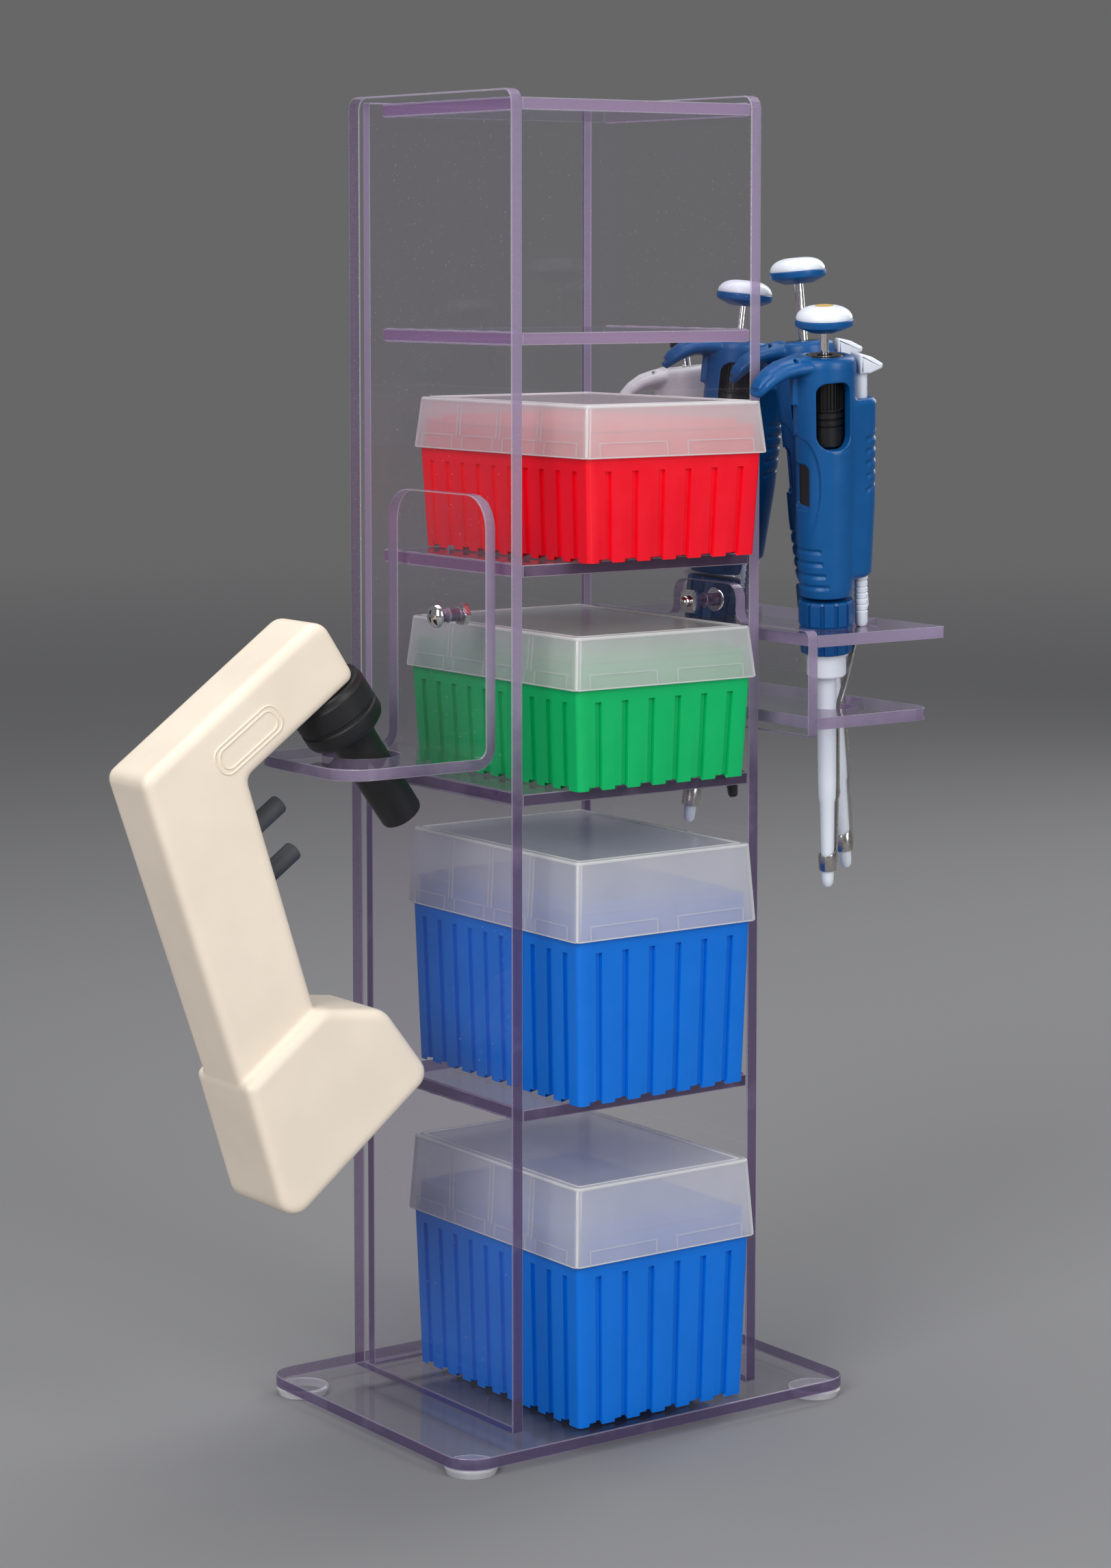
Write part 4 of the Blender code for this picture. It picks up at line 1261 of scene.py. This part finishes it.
def make_fasteners():
    for node, way, radius, height in (("bracket_screw", -1, 4.7, 3.3), ("rack_bolt", 1, 4.9, 3.2)):
        low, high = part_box(node)
        middle = (low + high) / 2
        face = low.x + 3.6 * MM if way < 0 else high.x - 3.4 * MM
        shank = (high.x - face if way < 0 else face - low.x) / MM
        turn = Vector((0, 0, 1)).rotation_difference(Vector((way, 0, 0))).to_matrix().to_4x4()
        where = Matrix.Translation((face, middle.y, middle.z)) @ turn
        head = cross_head(radius, height, shank)
        piece(node + "_head", head, "tower", CHROME, where, (node,))
    soften_edges(dress("bracket_nut", (CHROME,), lambda f: 0), 0.7, 3)
    low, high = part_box("rack_square_nut")
    size = (high - low) / MM
    nut = rounded_block(size, (0, 0, 0), bevel=0.9)
    stud = [(0, 4.4), (0.9, 4.3), (1.7, 3.9), (2.3, 3.0), (2.3, 0), (0, 0)]
    end = moved(lathe(stud), Matrix.Rotation(math.radians(-90), 4, "Y"))
    where = Matrix.Translation((low + high) / 2)
    piece("rack_nut", merged(nut, end), "tower", CHROME, where, ("rack_square_nut",))


# ------------------------------------------------------- stage and camera


def make_stage():
    bm = bmesh.new()
    bmesh.ops.create_circle(bm, cap_ends=True, segments=96, radius=FLOOR_RADIUS)
    mesh = bpy.data.meshes.new("floor")
    bm.to_mesh(mesh)
    bm.free()
    floor = bpy.data.objects.new("floor", mesh)
    bpy.context.scene.collection.objects.link(floor)
    n = Nodes("floor")
    paper = n.shader("Diffuse", FLOOR_COLOUR)
    clear = n.shader("Transparent")
    distance = n.add("ShaderNodeVectorMath", operation="LENGTH")
    n.link(n.place, distance.inputs[0])
    fade = n.add("ShaderNodeMapRange", interpolation_type="SMOOTHSTEP")
    fade.inputs["From Min"].default_value = FADE_START
    fade.inputs["From Max"].default_value = FADE_END
    n.link(distance.outputs["Value"], fade.inputs["Value"])
    floor.data.materials.append(
        n.finish(n.mix(fade.outputs["Result"], paper.outputs["BSDF"], clear.outputs["BSDF"]))
    )

    world = bpy.data.worlds.new("studio")
    bpy.context.scene.world = world
    world.use_nodes = True
    tree = world.node_tree
    tree.nodes.clear()
    output = tree.nodes.new("ShaderNodeOutputWorld")
    path = tree.nodes.new("ShaderNodeLightPath")
    seen = tree.nodes.new("ShaderNodeBackground")
    seen.inputs["Color"].default_value = BACKDROP
    light = tree.nodes.new("ShaderNodeBackground")
    light.inputs["Color"].default_value = SOFT_LIGHT
    light.inputs["Strength"].default_value = SOFT_STRENGTH
    mix = tree.nodes.new("ShaderNodeMixShader")
    tree.links.new(path.outputs["Is Camera Ray"], mix.inputs["Fac"])
    tree.links.new(light.outputs["Background"], mix.inputs[1])
    tree.links.new(seen.outputs["Background"], mix.inputs[2])
    tree.links.new(mix.outputs["Shader"], output.inputs["Surface"])


def add_light(name, place, size, watts):
    """A rectangular lamp that faces the middle of the set."""
    data = bpy.data.lights.new(name, "AREA")
    data.shape = "RECTANGLE"
    data.size, data.size_y = size
    data.energy = watts
    lamp = bpy.data.objects.new(name, data)
    lamp.location = place
    way = LIGHT_TARGET - Vector(place)
    lamp.rotation_euler = way.to_track_quat("-Z", "Y").to_euler()
    bpy.context.scene.collection.objects.link(lamp)


def make_lights():
    add_light("key", (-1.7, -0.9, 1.3), (0.9, 1.8), 33)
    add_light("fill", (0.25, -2.0, 1.05), (0.8, 1.7), 24)
    add_light("top", (0.1, 0.3, 1.9), (1.4, 1.4), 17)
    add_light("back_right", (1.7, 0.5, 1.2), (0.7, 1.7), 15)


def make_camera():
    data = bpy.data.cameras.new("camera")
    data.lens = CAMERA_LENS
    data.sensor_width = 36.0
    data.shift_y = CAMERA_SHIFT
    data.clip_end = 50.0
    camera = bpy.data.objects.new("camera", data)
    camera.location = tower(*CAMERA_PLACE)
    turn = math.radians(90 - CAMERA_PITCH), 0, -math.radians(CAMERA_HEADING)
    camera.rotation_euler = turn
    bpy.context.scene.collection.objects.link(camera)
    bpy.context.scene.camera = camera


def set_view():
    scene = bpy.context.scene
    scene.view_settings.view_transform = "Standard"
    scene.cycles.transparent_max_bounces = 48
    scene.cycles.max_bounces = 10
    scene.cycles.caustics_reflective = False
    scene.cycles.caustics_refractive = False


dress_sheets()
make_weld_beads()
for tip_box in TIP_BOXES:
    make_tip_box(*tip_box)
for pipette in PIPETTES:
    make_pipette(*pipette)
make_controller()
make_fasteners()
make_stage()
make_lights()
make_camera()
set_view()
